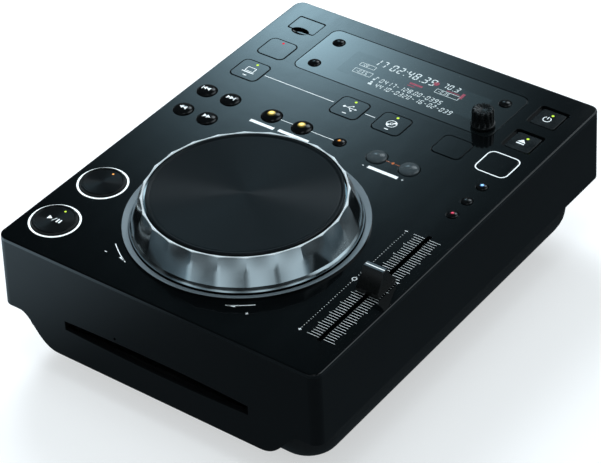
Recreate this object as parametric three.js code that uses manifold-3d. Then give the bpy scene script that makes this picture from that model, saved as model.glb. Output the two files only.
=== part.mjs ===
// Tabletop disc player for a DJ: a slot-loading player with a large scalloped jog dial.
// Millimetres, +Z up, +X to the right and +Y to the back, as its user sees it.
// Places on the top panel are measured from the panel's centre.

import * as THREE from 'three';
import { mergeVertices } from 'three/addons/utils/BufferGeometryUtils.js';
import Module from 'manifold-3d';

const wasm = await Module();
wasm.setup();

// Driving dimensions

const clearance = 0.3;
const runningGap = 0.6;
const overrun = 1;

const body = {
  width: 218.5,
  depth: 287.3,
  cornerRadius: 6,
  panelHeight: 87,
  edgeHeight: 39,
  wall: 2.4,
  draftShare: 0.022,
};

const halfWidth = body.width / 2;
const halfDepth = body.depth / 2;

const panel = {
  thickness: 2.6,
  edgeChamfer: 0.9,
  pillarRadius: 2.8,
  backPillarFromBack: 42.65,
  middlePillarFromBack: 94.65,
  frontPillarFromFront: 48.25,
  cornerSteps: 5,
  studRadius: 2.4,
  studFromSide: 39.25,
  backStudFromBack: 95.65,
  frontStudFromFront: 15.65,
};

const apron = {
  bottomHeight: 19.2,
  bottomHalfWidth: 71,
  topFromSide: 11.25,
  upperPull: 9.5,
  lowerPull: 15,
  curveSteps: 8,
};

const slot = {
  halfWidth: 63.6,
  middleHeight: 9.2,
  endHeight: 5.8,
  centreHeight: 42.5,
  curveSteps: 12,
  pinholeRadius: 0.9,
  pinholeX: -27.4,
  pinholeAbove: 7.2,
};

const tub = {
  wall: 2.2,
  rimHeight: 45,
  floorHeight: 9,
  edgeRadius: 21,
  cornerRadius: 20,
  cornerShrinkShare: 0.5,
  backInset: 19,
  edgeSteps: 4,
  cornerSteps: 4,
  gap: 0.35,
  standoffRadius: 3.2,
  bossRadius: 4,
  bossHeight: 12,
  bossBottom: 28,
  mouthHeight: 36.7,
  mouthHalfWidth: 66,
  ventLength: 34,
  ventWidth: 2.4,
  ventPitch: 7,
  ventCount: 8,
  ventFromBack: 48,
};

const foot = {
  radius: 9.5,
  shoulderRadius: 8.2,
  height: 9,
  shoulderHeight: 6.5,
  dimpleRadius: 3.4,
  dimpleDepth: 2.6,
  insetX: 32,
  insetFront: 34,
  insetBack: 52,
  sides: 16,
};

const dial = {
  x: 0,
  fromSide: 39.45,
  fromFront: 16.85,
  fromLoopRow: 11.5,
  flutes: 24,
  stepsPerFlute: 4,
  fluteSpread: 6.1,
  fluteDepth: 1.25,
  ringWidth: 1.7,
  skirtEdge: 1,
  skirtGap: 0.9,
  ringAbove: 19.4,
  fluteBottomAbove: 4.1,
  roundAbove: 2.9,
  bottomAbove: 1.4,
  wall: 2.4,
  webThickness: 2,
  plateSeatDrop: 2.6,
};

const bezel = {
  width: 3.5,
  height: 1.5,
  sides: 48,
};

const plate = {
  gap: 1.2,
  lipHeight: 3.7,
  lipWidth: 1.7,
  lipRound: 0.8,
  faceDrop: 0.9,
  sides: 48,
};

const shaft = {
  radius: 4,
  headRadius: 7,
  headHeight: 1.6,
  sides: 16,
  bottomBelowPanel: 30,
};

const bearing = {
  radius: 8.5,
  flangeRadius: 19,
  flangeThickness: 2.4,
  abovePanel: 14.5,
  belowPanel: 23.2,
  holeRadius: 12,
  sides: 20,
};

const encoder = {
  radius: 23,
  thickness: 1.2,
  slots: 12,
  slotInnerRadius: 17.5,
  slotOuterRadius: 21,
  slotShare: 0.45,
  hubRadius: 7.5,
  hubHeight: 5,
  aboveShaftEnd: 1.5,
};

const board = {
  thickness: 1.6,
  belowPanel: 11.2,
  inset: 7,
  switchWidth: 6,
  switchHeight: 3.4,
};

const round = {
  flangeWidth: 1.2,
  flangeThickness: 1,
  stemRadius: 1.6,
  stemGap: 0.1,
  edge: 0.5,
  travel: 0.5,
  hole: 0.35,
  sides: 16,
};

const square = {
  width: 19.4,
  depth: 18.8,
  corner: 3.6,
  cornerSteps: 3,
};

const transport = {
  fromSide: 19.55,
  cueFromFront: 69.35,
  playFromFront: 27.25,
  radius: 13.1,
  rise: 1.5,
  sides: 24,
};

const search = {
  outerFromSide: 12.75,
  innerFromSide: 30.35,
  upperFromBack: 111.95,
  lowerFromBack: 134.95,
  radius: 6,
  rise: 2,
};

const loop = {
  inShare: -0.22105,
  outShare: -0.12082,
  exitShare: 0.00183,
  beatLeftShare: 0.12265,
  beatRightShare: 0.22426,
  fromBack: 111.95,
  radius: 6.2,
  rise: 2.2,
  exitRadius: 3.8,
  exitRise: 1.3,
};

const mode = {
  fromSide: 16.55,
  fromBack: [103.15, 119.05, 133.75],
  radius: 3.3,
  rise: 1.2,
};

const keys = {
  leftFromSide: 21.25,
  stopFromBack: 52.65,
  sourceFromBack: 80.25,
  stickX: -14.5,
  discX: 15.4,
  listFromSide: 51.55,
  lockFromSide: 20.85,
  rise: 0.15,
};

const pocket = {
  fromSide: 20.45,
  upperFromBack: 25.25,
  lowerFromBack: 53.05,
  width: 19.6,
  depth: 19.2,
  corner: 2.4,
  sink: 1.7,
  keyWidth: 15.6,
  keyDepth: 16.4,
  keyCorner: 1.6,
  keyBelow: 0.9,
};

const display = {
  fromSide: 38.75,
  depth: 47.4,
  fromBack: 38.35,
  corner: 5.5,
  cornerSteps: 4,
  thickness: 1.5,
  buttonInset: 10.5,
  upperFromBack: 26.65,
  buttonRadius: 3.7,
  buttonRise: 1.4,
  moduleInset: 21.5,
  moduleDepth: 33,
  moduleFrame: 3,
};

const selector = {
  inset: 9.7,
  radius: 6.5,
  topRadius: 5.9,
  flangeRadius: 7.3,
  flangeHeight: 1.3,
  height: 12.6,
  above: 0.9,
  ribs: 18,
  ribDepth: 0.45,
  shaftRadius: 2.8,
  hole: 3.6,
  collarRadius: 5,
  collarThickness: 1.2,
  switchWidth: 12,
  switchHeight: 4.2,
  shaftAbove: 9.5,
  travel: 0.7,
};

const stick = {
  fromBack: 21.75,
  width: 19,
  depth: 14.2,
  corner: 1.4,
  coverThickness: 1.5,
  wellWidth: 16,
  wellDepth: 11.2,
  wellWall: 1.6,
  wellHeight: 6.4,
  notchWidth: 12,
  notchDepth: 3.6,
  notchSink: 1.3,
  socketWidth: 13.2,
  socketDepth: 5.9,
  socketHeight: 11,
  socketWall: 0.5,
  tongueThickness: 1.8,
};

const fader = {
  fromSide: 16.05,
  fromFront: 14.65,
  endRoom: 13,
  slotWidth: 3,
  bodyWidth: 9.4,
  fromModeRow: 12.9,
  wall: 1.2,
  leverWidth: 1.4,
  leverLength: 5,
  leverAbove: 9,
  carriageLength: 11,
  shoulder: 0.4,
  capWidth: 14.6,
  capLength: 17.4,
  capHeight: 13.2,
  capAbove: 0.9,
  ridgeLength: 3.6,
  sideTaper: 0.7,
  waistShare: 0.56,
  waistLength: 7.4,
  footHeight: 2.4,
  profileSteps: 5,
};

const drive = {
  halfWidth: 64,
  sheet: 1.2,
  baseHeight: 24,
  sideHeight: 47.5,
  fromFront: 7.15,
  length: 144.5,
  bridgeDepth: 30,
  bridgeDrop: 0.2,
  rollerHeight: 36,
  rollerRadius: 4,
  rollerInset: 9,
  rollerHalfLength: 54,
  rollerEndRadius: 1.5,
  rollerSides: 14,
  hubRadius: 14.5,
  hubBottom: 35,
  hubTop: 38.2,
  coneRadius: 7.4,
  coneTopRadius: 5.4,
  coneTop: 39.8,
  hubFromFront: 68.5,
  spindleRadius: 2,
  spindleBottom: 28,
  motorRadius: 12,
  motorTop: 33,
  sledWidth: 50,
  sledDepth: 22,
  sledBottom: 27.6,
  sledTop: 33.4,
  lensRadius: 3.4,
  lensRise: 1.4,
  sledStart: 24,
  sledTravel: 34,
  rodRadius: 1.5,
  rodX: 20,
  rodFromHub: 7,
  rodFromBack: 3,
  rodHeight: 30.5,
  tabWidth: 6,
  tabThickness: 2.4,
  sides: 16,
};

const power = {
  fromSide: 13.25,
  inner: 24,
  gapToDrive: 22,
  fromBack: 29.65,
  height: 21,
  thickness: 1.6,
  transformerShare: 0.5,
  transformerHeight: 30,
  transformerXShare: -0.139,
  transformerYShare: -0.143,
  coilShare: 0.333,
  coilOverhang: 5,
  capacitorRadiusShare: 0.095,
  capacitorHeight: 24,
  capacitorXShare: 0.306,
  capacitorPitchShare: 0.238,
  capacitorCount: 3,
};

const logic = {
  fromSide: 17.25,
  inner: 16,
  height: 21,
  thickness: 1.6,
  chipWidth: 24,
  chipHeight: 2.4,
  chipShare: 0.259,
  sinkWidth: 34,
  sinkShare: -0.185,
  sinkFins: 6,
  sinkBase: 3,
  sinkHeight: 14,
  finShare: 0.4,
};

const rear = {
  height: 62,
  bodyDepth: 16,
  lip: 0.8,
  audioFromSide: 25.25,
  audioPitch: 16,
  jackRadius: 4.1,
  jackReach: 8.6,
  jackBody: 13,
  jackBore: 1.65,
  jackBoreDepth: 12,
  jackSides: 12,
  computerFromSide: 65.25,
  computerWidth: 12,
  computerHeight: 10.9,
  computerWall: 1.4,
  computerTongue: 4.6,
  computerFlange: 2,
  socketDepth: 11,
  mainsFromSide: 35.25,
  mainsWidth: 22,
  mainsHeight: 13,
  mainsFlange: 2.4,
  mainsWall: 2.2,
  mainsPinRadius: 1.2,
  mainsPinPitch: 7.8,
};

// Places and sizes that follow from the panel's edges and from each other

Object.assign(display, {
  width: body.width - 2 * display.fromSide,
  moduleWidth: body.width - 2 * (display.fromSide + display.moduleInset),
  y: halfDepth - display.fromBack,
  buttonX: halfWidth - display.fromSide - display.buttonInset,
  upperY: halfDepth - display.upperFromBack,
  lowerY: halfDepth - keys.stopFromBack,
});
Object.assign(selector, {
  x: halfWidth - display.fromSide - selector.inset,
  y: display.lowerY,
});
Object.assign(keys, {
  leftX: keys.leftFromSide - halfWidth,
  listX: halfWidth - keys.listFromSide,
  lockX: halfWidth - keys.lockFromSide,
  stopY: halfDepth - keys.stopFromBack,
  sourceY: halfDepth - keys.sourceFromBack,
});
Object.assign(stick, {
  x: keys.leftX,
  y: halfDepth - stick.fromBack,
});
Object.assign(pocket, {
  x: halfWidth - pocket.fromSide,
  upperY: halfDepth - pocket.upperFromBack,
  lowerY: halfDepth - pocket.lowerFromBack,
});
Object.assign(search, {
  leftX: search.outerFromSide - halfWidth,
  rightX: search.innerFromSide - halfWidth,
  upperY: halfDepth - search.upperFromBack,
  lowerY: halfDepth - search.lowerFromBack,
});
Object.assign(loop, {
  inX: body.width * loop.inShare,
  outX: body.width * loop.outShare,
  exitX: body.width * loop.exitShare,
  beatLeftX: body.width * loop.beatLeftShare,
  beatRightX: body.width * loop.beatRightShare,
  y: halfDepth - loop.fromBack,
});
Object.assign(mode, {
  x: halfWidth - mode.fromSide,
  ys: mode.fromBack.map((inset) => halfDepth - inset),
});
Object.assign(transport, {
  x: transport.fromSide - halfWidth,
  cueY: transport.cueFromFront - halfDepth,
  playY: transport.playFromFront - halfDepth,
});

// The dial is as large as the columns beside it, the front edge and the row behind it allow
const dialRoom = loop.y - loop.radius - round.flangeWidth - dial.fromLoopRow + halfDepth - dial.fromFront;
bezel.outerRadius = Math.min(halfWidth - dial.fromSide, dialRoom / 2);
bezel.innerRadius = bezel.outerRadius - bezel.width;
dial.y = dial.fromFront + bezel.outerRadius - halfDepth;
dial.skirtRadius = bezel.innerRadius - dial.skirtGap;
dial.fluteBottomRadius = dial.skirtRadius - dial.skirtEdge;
dial.cuspRadius = dial.fluteBottomRadius - dial.fluteSpread;
dial.ringInnerRadius = dial.cuspRadius - dial.ringWidth;
plate.radius = dial.ringInnerRadius - plate.gap;

// The fader fills its column from the front edge to the last mode button
const faderFront = fader.fromFront - halfDepth;
const faderBack = Math.min(...mode.ys) - fader.fromModeRow;
Object.assign(fader, {
  x: halfWidth - fader.fromSide,
  y: (faderFront + faderBack) / 2,
  bodyLength: faderBack - faderFront,
  travel: faderBack - faderFront - 2 * fader.endRoom,
});

// The drive keeps its length, and the boards fill the room behind it
const driveFront = drive.fromFront - halfDepth;
const driveBack = driveFront + drive.length;
const hubY = driveFront + drive.hubFromFront;
const rodFront = hubY + drive.rodFromHub;
const rodBack = driveBack - drive.rodFromBack;
const boardFront = driveBack + power.gapToDrive;
const boardBack = halfDepth - power.fromBack;
const boardDepth = boardBack - boardFront;
const boardY = (boardFront + boardBack) / 2;
const powerRight = halfWidth - power.fromSide;
const logicLeft = logic.fromSide - halfWidth;
Object.assign(power, {
  x: (power.inner + powerRight) / 2,
  y: boardY,
  width: powerRight - power.inner,
  depth: boardDepth,
  transformerWidth: (powerRight - power.inner) * power.transformerShare,
  transformerDepth: boardDepth * power.transformerShare,
  transformerX: (powerRight - power.inner) * power.transformerXShare,
  transformerY: boardDepth * power.transformerYShare,
  coilWidth: (powerRight - power.inner) * power.coilShare,
  capacitorX: (powerRight - power.inner) * power.capacitorXShare,
  capacitorRadius: boardDepth * power.capacitorRadiusShare,
  capacitorPitch: boardDepth * power.capacitorPitchShare,
});
Object.assign(logic, {
  x: (logic.inner + logicLeft) / 2,
  y: boardY,
  width: logic.inner - logicLeft,
  depth: boardDepth,
  chipX: (logic.inner - logicLeft) * logic.chipShare,
  sinkX: (logic.inner - logicLeft) * logic.sinkShare,
});
Object.assign(rear, {
  audioLeftX: rear.audioFromSide - halfWidth,
  computerX: rear.computerFromSide - halfWidth,
  mainsX: halfWidth - rear.mainsFromSide,
});

// Heights and edges that several pieces share

const panelUnderside = body.panelHeight - panel.thickness;
const boardTop = body.panelHeight - board.belowPanel;
const switchTop = boardTop + board.switchHeight;
const tubHalfWidth = halfWidth - body.wall - tub.gap;
const pillarX = tubHalfWidth - tub.wall - panel.pillarRadius - clearance;
const pillarYs = [
  halfDepth - panel.backPillarFromBack,
  halfDepth - panel.middlePillarFromBack,
  panel.frontPillarFromFront - halfDepth,
];
const apronTop = halfWidth - apron.topFromSide;
const studX = halfWidth - panel.studFromSide;
const studYs = [halfDepth - panel.backStudFromBack, panel.frontStudFromFront - halfDepth];
const tubFront = halfDepth - body.wall - tub.gap;
const tubFloorTop = tub.floorHeight + tub.wall;
const capBottom = body.panelHeight + fader.capAbove;
const mergeTolerance = 1e-4;
const quarterTurn = Math.PI / 2;
const fullTurn = Math.PI * 2;

// Shapes and the joining and cutting of solids

function cleaned(geometry) {
  const plain = geometry.clone();
  plain.deleteAttribute('normal');
  plain.deleteAttribute('uv');
  const merged = mergeVertices(plain, mergeTolerance);
  const source = merged.index.array;
  const kept = [];
  for (let i = 0; i < source.length; i += 3) {
    const [a, b, c] = [source[i], source[i + 1], source[i + 2]];
    if (a !== b && b !== c && a !== c) kept.push(a, b, c);
  }
  merged.setIndex(kept);
  return facingOut(merged);
}

function facingOut(geometry) {
  const place = geometry.attributes.position;
  const faces = Array.from(geometry.index.array);
  const corner = (i) => new THREE.Vector3().fromBufferAttribute(place, i);
  let volume = 0;
  for (let i = 0; i < faces.length; i += 3) {
    volume += corner(faces[i]).dot(corner(faces[i + 1]).cross(corner(faces[i + 2])));
  }
  if (volume < 0) geometry.setIndex(faces.reverse());
  return geometry;
}

function toSolid(geometry) {
  const ready = cleaned(geometry);
  return new wasm.Manifold(new wasm.Mesh({
    numProp: 3,
    vertProperties: Float32Array.from(ready.attributes.position.array),
    triVerts: Uint32Array.from(ready.index.array),
  }));
}

function toGeometry(solid) {
  const mesh = solid.getMesh();
  const geometry = new THREE.BufferGeometry();
  geometry.setAttribute('position', new THREE.BufferAttribute(Float32Array.from(mesh.vertProperties), 3));
  geometry.setIndex(Array.from(mesh.triVerts));
  return geometry;
}

function joined(geometries) {
  const [first, ...others] = geometries.map(toSolid);
  return toGeometry(others.reduce((sum, next) => sum.add(next), first));
}

function carved(geometry, cutters) {
  return toGeometry(toSolid(geometry).subtract(toSolid(joined(cutters))));
}

// A rounded rectangle, counter-clockwise, about (x, y)
function outline(width, depth, corner, steps, x = 0, y = 0) {
  const points = [];
  const reachX = width / 2 - corner;
  const reachY = depth / 2 - corner;
  [[1, 1], [-1, 1], [-1, -1], [1, -1]].forEach(([sideX, sideY], quarter) => {
    for (let i = 0; i <= steps; i += 1) {
      const angle = quarterTurn * (quarter + i / steps);
      points.push(new THREE.Vector2(
        x + sideX * reachX + corner * Math.cos(angle),
        y + sideY * reachY + corner * Math.sin(angle),
      ));
    }
  });
  return points;
}

function circle(radius, sides, x = 0, y = 0) {
  return Array.from({ length: sides }, (_, i) => new THREE.Vector2(
    x + radius * Math.cos(fullTurn * i / sides),
    y + radius * Math.sin(fullTurn * i / sides),
  ));
}

function prism(points, bottom, top) {
  const geometry = new THREE.ExtrudeGeometry(new THREE.Shape(points), {
    depth: top - bottom,
    bevelEnabled: false,
  });
  return geometry.translate(0, 0, bottom);
}

// An outline in X and Z, run along Y from front to back
function wallPrism(points, front, back) {
  return prism(points, -back, -front).rotateX(quarterTurn);
}

// An outline in Y and Z, run along X from left to right
function sidePrism(points, left, right) {
  return prism(points, left, right).rotateX(quarterTurn).rotateZ(quarterTurn);
}

function block(width, depth, bottom, top, x = 0, y = 0) {
  return new THREE.BoxGeometry(width, depth, top - bottom).translate(x, y, (bottom + top) / 2);
}

// A profile of radius and height, turned about the vertical at (x, y)
function turned(profile, sides, x = 0, y = 0) {
  const points = profile.map(([radius, height]) => new THREE.Vector2(radius, height));
  return new THREE.LatheGeometry(points, sides).rotateX(quarterTurn).translate(x, y, 0);
}

// A profile of radius and distance to the back, turned about a line along Y at (x, height)
function turnedBack(profile, sides, x, height) {
  const points = profile.map(([radius, distance]) => new THREE.Vector2(radius, distance));
  return new THREE.LatheGeometry(points, sides).translate(x, 0, height);
}

// Rings of points with equal counts, from the lowest up, skinned and capped
function loft(rings) {
  const count = rings[0].length;
  const last = (rings.length - 1) * count;
  const faces = [];
  for (let start = 0; start < last; start += count) {
    for (let i = 0; i < count; i += 1) {
      const j = (i + 1) % count;
      const [a, b, c, d] = [start + i, start + j, start + count + j, start + count + i];
      faces.push(a, b, c, a, c, d);
    }
  }
  const lid = (ring) => THREE.ShapeUtils.triangulateShape(ring.map((p) => new THREE.Vector2(p.x, p.y)), []);
  lid(rings[0]).forEach(([a, b, c]) => faces.push(a, c, b));
  lid(rings.at(-1)).forEach(([a, b, c]) => faces.push(last + a, last + b, last + c));
  const geometry = new THREE.BufferGeometry();
  geometry.setAttribute('position', new THREE.Float32BufferAttribute(rings.flat().flatMap((p) => p.toArray()), 3));
  geometry.setIndex(faces);
  return geometry;
}

function ringAt(points, height) {
  return points.map((p) => new THREE.Vector3(p.x, p.y, height));
}

// The object as a scene graph

const player = new THREE.Group();

function addPart(name, geometry, colour, roughness, metalness = 0) {
  const material = new THREE.MeshStandardMaterial({ color: colour, roughness, metalness });
  const mesh = new THREE.Mesh(cleaned(geometry), material);
  mesh.name = name;
  player.add(mesh);
}

const finishes = {
  gloss: [0x111418, 0.18],
  satin: [0x16181b, 0.4],
  matt: [0x1b1c1e, 0.7],
  rubber: [0x101011, 0.9],
  chrome: [0xb4c0c6, 0.16, 1],
  steel: [0x9a9c9e, 0.35, 1],
  sheet: [0xaeb2b4, 0.45, 1],
  circuit: [0x1f5a3a, 0.6],
  bronze: [0x8a6a3c, 0.45, 1],
};

// Case: four tapering walls, with an apron in front that dips between two S curves

function outset(height) {
  return (body.panelHeight - height) * body.draftShare;
}

function caseRing(height, inset) {
  const grow = 2 * (outset(height) - inset);
  const corner = body.cornerRadius - inset;
  return ringAt(outline(body.width + grow, body.depth + grow, corner, panel.cornerSteps), height);
}

// The right half of the lower edge: flat, then an S curve down to the apron
function apronCutter(side) {
  const low = apron.bottomHeight - overrun;
  const curve = new THREE.CubicBezierCurve(
    new THREE.Vector2(apronTop, body.edgeHeight),
    new THREE.Vector2(apronTop - apron.upperPull, body.edgeHeight),
    new THREE.Vector2(apron.bottomHalfWidth + apron.lowerPull, apron.bottomHeight),
    new THREE.Vector2(apron.bottomHalfWidth, apron.bottomHeight),
  );
  const far = body.width;
  const points = [
    new THREE.Vector2(far, body.edgeHeight),
    ...curve.getPoints(apron.curveSteps),
    new THREE.Vector2(apron.bottomHalfWidth, low),
    new THREE.Vector2(far, low),
  ];
  const shaped = points.map((p) => new THREE.Vector2(side * p.x, p.y));
  return wallPrism(side < 0 ? shaped : shaped.reverse(), -body.depth, body.depth);
}

// The disc slot is a flat lens, a little taller in the middle than at its ends
function slotOutline() {
  const rise = slot.middleHeight - slot.endHeight / 2;
  const edge = (side) => new THREE.QuadraticBezierCurve(
    new THREE.Vector2(side * slot.halfWidth, slot.centreHeight - side * slot.endHeight / 2),
    new THREE.Vector2(0, slot.centreHeight - side * rise),
    new THREE.Vector2(-side * slot.halfWidth, slot.centreHeight - side * slot.endHeight / 2),
  ).getPoints(slot.curveSteps);
  return [...edge(-1), ...edge(1)];
}

function upperCase() {
  const outer = loft([caseRing(apron.bottomHeight, 0), caseRing(panelUnderside, 0)]);
  const inner = loft([
    caseRing(apron.bottomHeight - overrun, body.wall),
    caseRing(panelUnderside + overrun, body.wall),
  ]);
  const backLow = block(
    body.width, halfDepth, apron.bottomHeight - overrun, body.edgeHeight, 0, halfDepth,
  );
  const frontWall = [-halfDepth - body.wall, -halfDepth + 2 * body.wall];
  const pinhole = circle(
    slot.pinholeRadius, round.sides / 2, slot.pinholeX, slot.centreHeight + slot.pinholeAbove,
  );
  const backWall = [halfDepth - 2 * body.wall, halfDepth + body.wall];
  const rearHole = (points) => wallPrism(points, ...backWall);
  const jackHole = (x) => rearHole(
    circle(rear.jackRadius + clearance, rear.jackSides, x, rear.height),
  );
  return carved(outer, [
    inner,
    apronCutter(1),
    apronCutter(-1),
    backLow,
    wallPrism(slotOutline(), ...frontWall),
    wallPrism(pinhole, ...frontWall),
    jackHole(rear.audioLeftX),
    jackHole(rear.audioLeftX + rear.audioPitch),
    rearHole(outline(
      rear.computerWidth + 2 * clearance, rear.computerHeight + 2 * clearance,
      clearance, 1, rear.computerX, rear.height,
    )),
    rearHole(outline(
      rear.mainsWidth + 2 * clearance, rear.mainsHeight + 2 * clearance,
      rear.mainsHeight / 3, 3, rear.mainsX, rear.height,
    )),
  ]);
}

addPart('upper_case', upperCase(), ...finishes.satin);

// Bottom tub: a deep moulding with broad rounded edges, hung inside the case walls

function tubRing(height, inset, back, corner) {
  const width = 2 * (tubHalfWidth - inset);
  const depth = tubFront + back - 2 * inset;
  return ringAt(outline(width, depth, corner, tub.cornerSteps, 0, (back - tubFront) / 2), height);
}

function tubRings(inset, rimOverrun) {
  const radius = tub.edgeRadius - inset;
  const bend = tub.floorHeight + tub.edgeRadius;
  const lowBack = halfDepth - tub.backInset;
  const rings = [];
  for (let i = 0; i <= tub.edgeSteps; i += 1) {
    const angle = quarterTurn * i / tub.edgeSteps;
    const pulled = inset + radius * (1 - Math.sin(angle));
    const corner = tub.cornerRadius - tub.cornerShrinkShare * pulled;
    rings.push(tubRing(bend - radius * Math.cos(angle), pulled, lowBack, corner));
  }
  const ledge = body.edgeHeight + inset;
  rings.push(tubRing(ledge, inset, lowBack, tub.cornerRadius - tub.cornerShrinkShare * inset));
  rings.push(tubRing(ledge, inset, tubFront, body.cornerRadius));
  rings.push(tubRing(tub.rimHeight + rimOverrun, inset, tubFront, body.cornerRadius));
  return rings;
}

function column(radius, bottom, top, x, y) {
  return prism(circle(radius, round.sides / 2, x, y), bottom, top);
}

// The four corners of a board or tray, where its supports stand
function cornersOf(x, y, width, depth, inset) {
  return [[-1, -1], [1, -1], [1, 1], [-1, 1]].map(([sideX, sideY]) => [
    x + sideX * (width / 2 - inset),
    y + sideY * (depth / 2 - inset),
  ]);
}

const driveY = (driveFront + driveBack) / 2;
const supportInset = 4 * tub.standoffRadius;

function bottomTub() {
  const shell = carved(loft(tubRings(0, 0)), [loft(tubRings(tub.wall, overrun))]);
  const footing = tub.floorHeight + tub.wall / 2;
  const standoffs = [
    ...cornersOf(0, driveY, 2 * drive.halfWidth, drive.length, supportInset)
      .map(([x, y]) => column(tub.standoffRadius, footing, drive.baseHeight, x, y)),
    ...cornersOf(power.x, power.y, power.width, power.depth, supportInset)
      .map(([x, y]) => column(tub.standoffRadius, footing, power.height, x, y)),
    ...cornersOf(logic.x, logic.y, logic.width, logic.depth, supportInset)
      .map(([x, y]) => column(tub.standoffRadius, footing, logic.height, x, y)),
  ];
  const bosses = pillarYs.flatMap((y) => [-1, 1].map((side) => column(
    tub.bossRadius, tub.bossBottom, tub.bossBottom + tub.bossHeight, side * pillarX, y,
  )));
  const mouth = block(
    2 * tub.mouthHalfWidth, 2 * tub.cornerRadius, tub.mouthHeight, tub.rimHeight + overrun, 0, -tubFront,
  );
  const vents = Array.from({ length: tub.ventCount }, (_, i) => block(
    tub.ventWidth, tub.ventLength, tub.floorHeight - overrun, tubFloorTop + overrun,
    (i - (tub.ventCount - 1) / 2) * tub.ventPitch, halfDepth - tub.ventFromBack - tub.ventLength / 2,
  ));
  return carved(joined([shell, ...standoffs, ...bosses]), [mouth, ...vents]);
}

addPart('bottom_tub', bottomTub(), ...finishes.matt);

// Feet: four turned rubber pads with a screw dimple

function rubberFoot(x, y) {
  return turned([
    [0, foot.dimpleDepth],
    [foot.dimpleRadius, foot.dimpleDepth],
    [foot.dimpleRadius, 0],
    [foot.shoulderRadius, 0],
    [foot.radius, foot.height - foot.shoulderHeight],
    [foot.radius, foot.height],
    [0, foot.height],
  ], foot.sides, x, y);
}

[['front', -halfDepth + foot.insetFront], ['rear', halfDepth - foot.insetBack]].forEach(([end, y]) => {
  [['left', -1], ['right', 1]].forEach(([hand, side]) => {
    const x = side * (halfWidth - foot.insetX);
    addPart(`foot_${end}_${hand}`, rubberFoot(x, y), ...finishes.rubber);
  });
});

// Control panel: one moulding with every opening, hung on pillars from the tub's bosses

const roundKeys = {
  cue_button: { x: transport.x, y: transport.cueY, ...transport },
  play_button: { x: transport.x, y: transport.playY, ...transport },
  track_back_button: { x: search.leftX, y: search.upperY, radius: search.radius, rise: search.rise },
  track_next_button: { x: search.rightX, y: search.upperY, radius: search.radius, rise: search.rise },
  search_back_button: { x: search.leftX, y: search.lowerY, radius: search.radius, rise: search.rise },
  search_next_button: { x: search.rightX, y: search.lowerY, radius: search.radius, rise: search.rise },
  loop_in_button: { x: loop.inX, y: loop.y, radius: loop.radius, rise: loop.rise },
  loop_out_button: { x: loop.outX, y: loop.y, radius: loop.radius, rise: loop.rise },
  loop_exit_button: { x: loop.exitX, y: loop.y, radius: loop.exitRadius, rise: loop.exitRise },
  beat_less_button: { x: loop.beatLeftX, y: loop.y, radius: loop.radius, rise: loop.rise },
  beat_more_button: { x: loop.beatRightX, y: loop.y, radius: loop.radius, rise: loop.rise },
  jog_mode_button: { x: mode.x, y: mode.ys[0], radius: mode.radius, rise: mode.rise },
  tempo_range_button: { x: mode.x, y: mode.ys[1], radius: mode.radius, rise: mode.rise },
  key_lock_button: { x: mode.x, y: mode.ys[2], radius: mode.radius, rise: mode.rise },
  menu_button: {
    x: -display.buttonX, y: display.upperY, radius: display.buttonRadius, rise: display.buttonRise,
  },
  time_mode_button: {
    x: -display.buttonX, y: display.lowerY, radius: display.buttonRadius, rise: display.buttonRise,
  },
  back_button: {
    x: display.buttonX, y: display.upperY, radius: display.buttonRadius, rise: display.buttonRise,
  },
};

const flatKeys = {
  stop_key: [keys.leftX, keys.stopY],
  computer_key: [keys.leftX, keys.sourceY],
  stick_key: [keys.stickX, keys.sourceY],
  disc_key: [keys.discX, keys.sourceY],
  list_key: [keys.listX, keys.sourceY],
  lock_key: [keys.lockX, keys.sourceY],
};

const pocketKeys = {
  power_key: [pocket.x, pocket.upperY],
  eject_key: [pocket.x, pocket.lowerY],
};

const wellFloor = body.panelHeight - stick.coverThickness - stick.wellHeight;
const coverSeat = body.panelHeight - stick.coverThickness - clearance;
const slotLength = fader.travel + fader.leverLength + 2 * clearance;

function ellipse(radiusX, radiusY, sides, x, y) {
  return circle(1, sides).map((p) => new THREE.Vector2(x + radiusX * p.x, y + radiusY * p.y));
}

function notch(grow, bottom, top) {
  const points = ellipse(
    stick.notchWidth / 2 + grow, stick.notchDepth + grow, round.sides, stick.x, stick.y - stick.depth / 2,
  );
  return prism(points, bottom, top);
}

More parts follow.
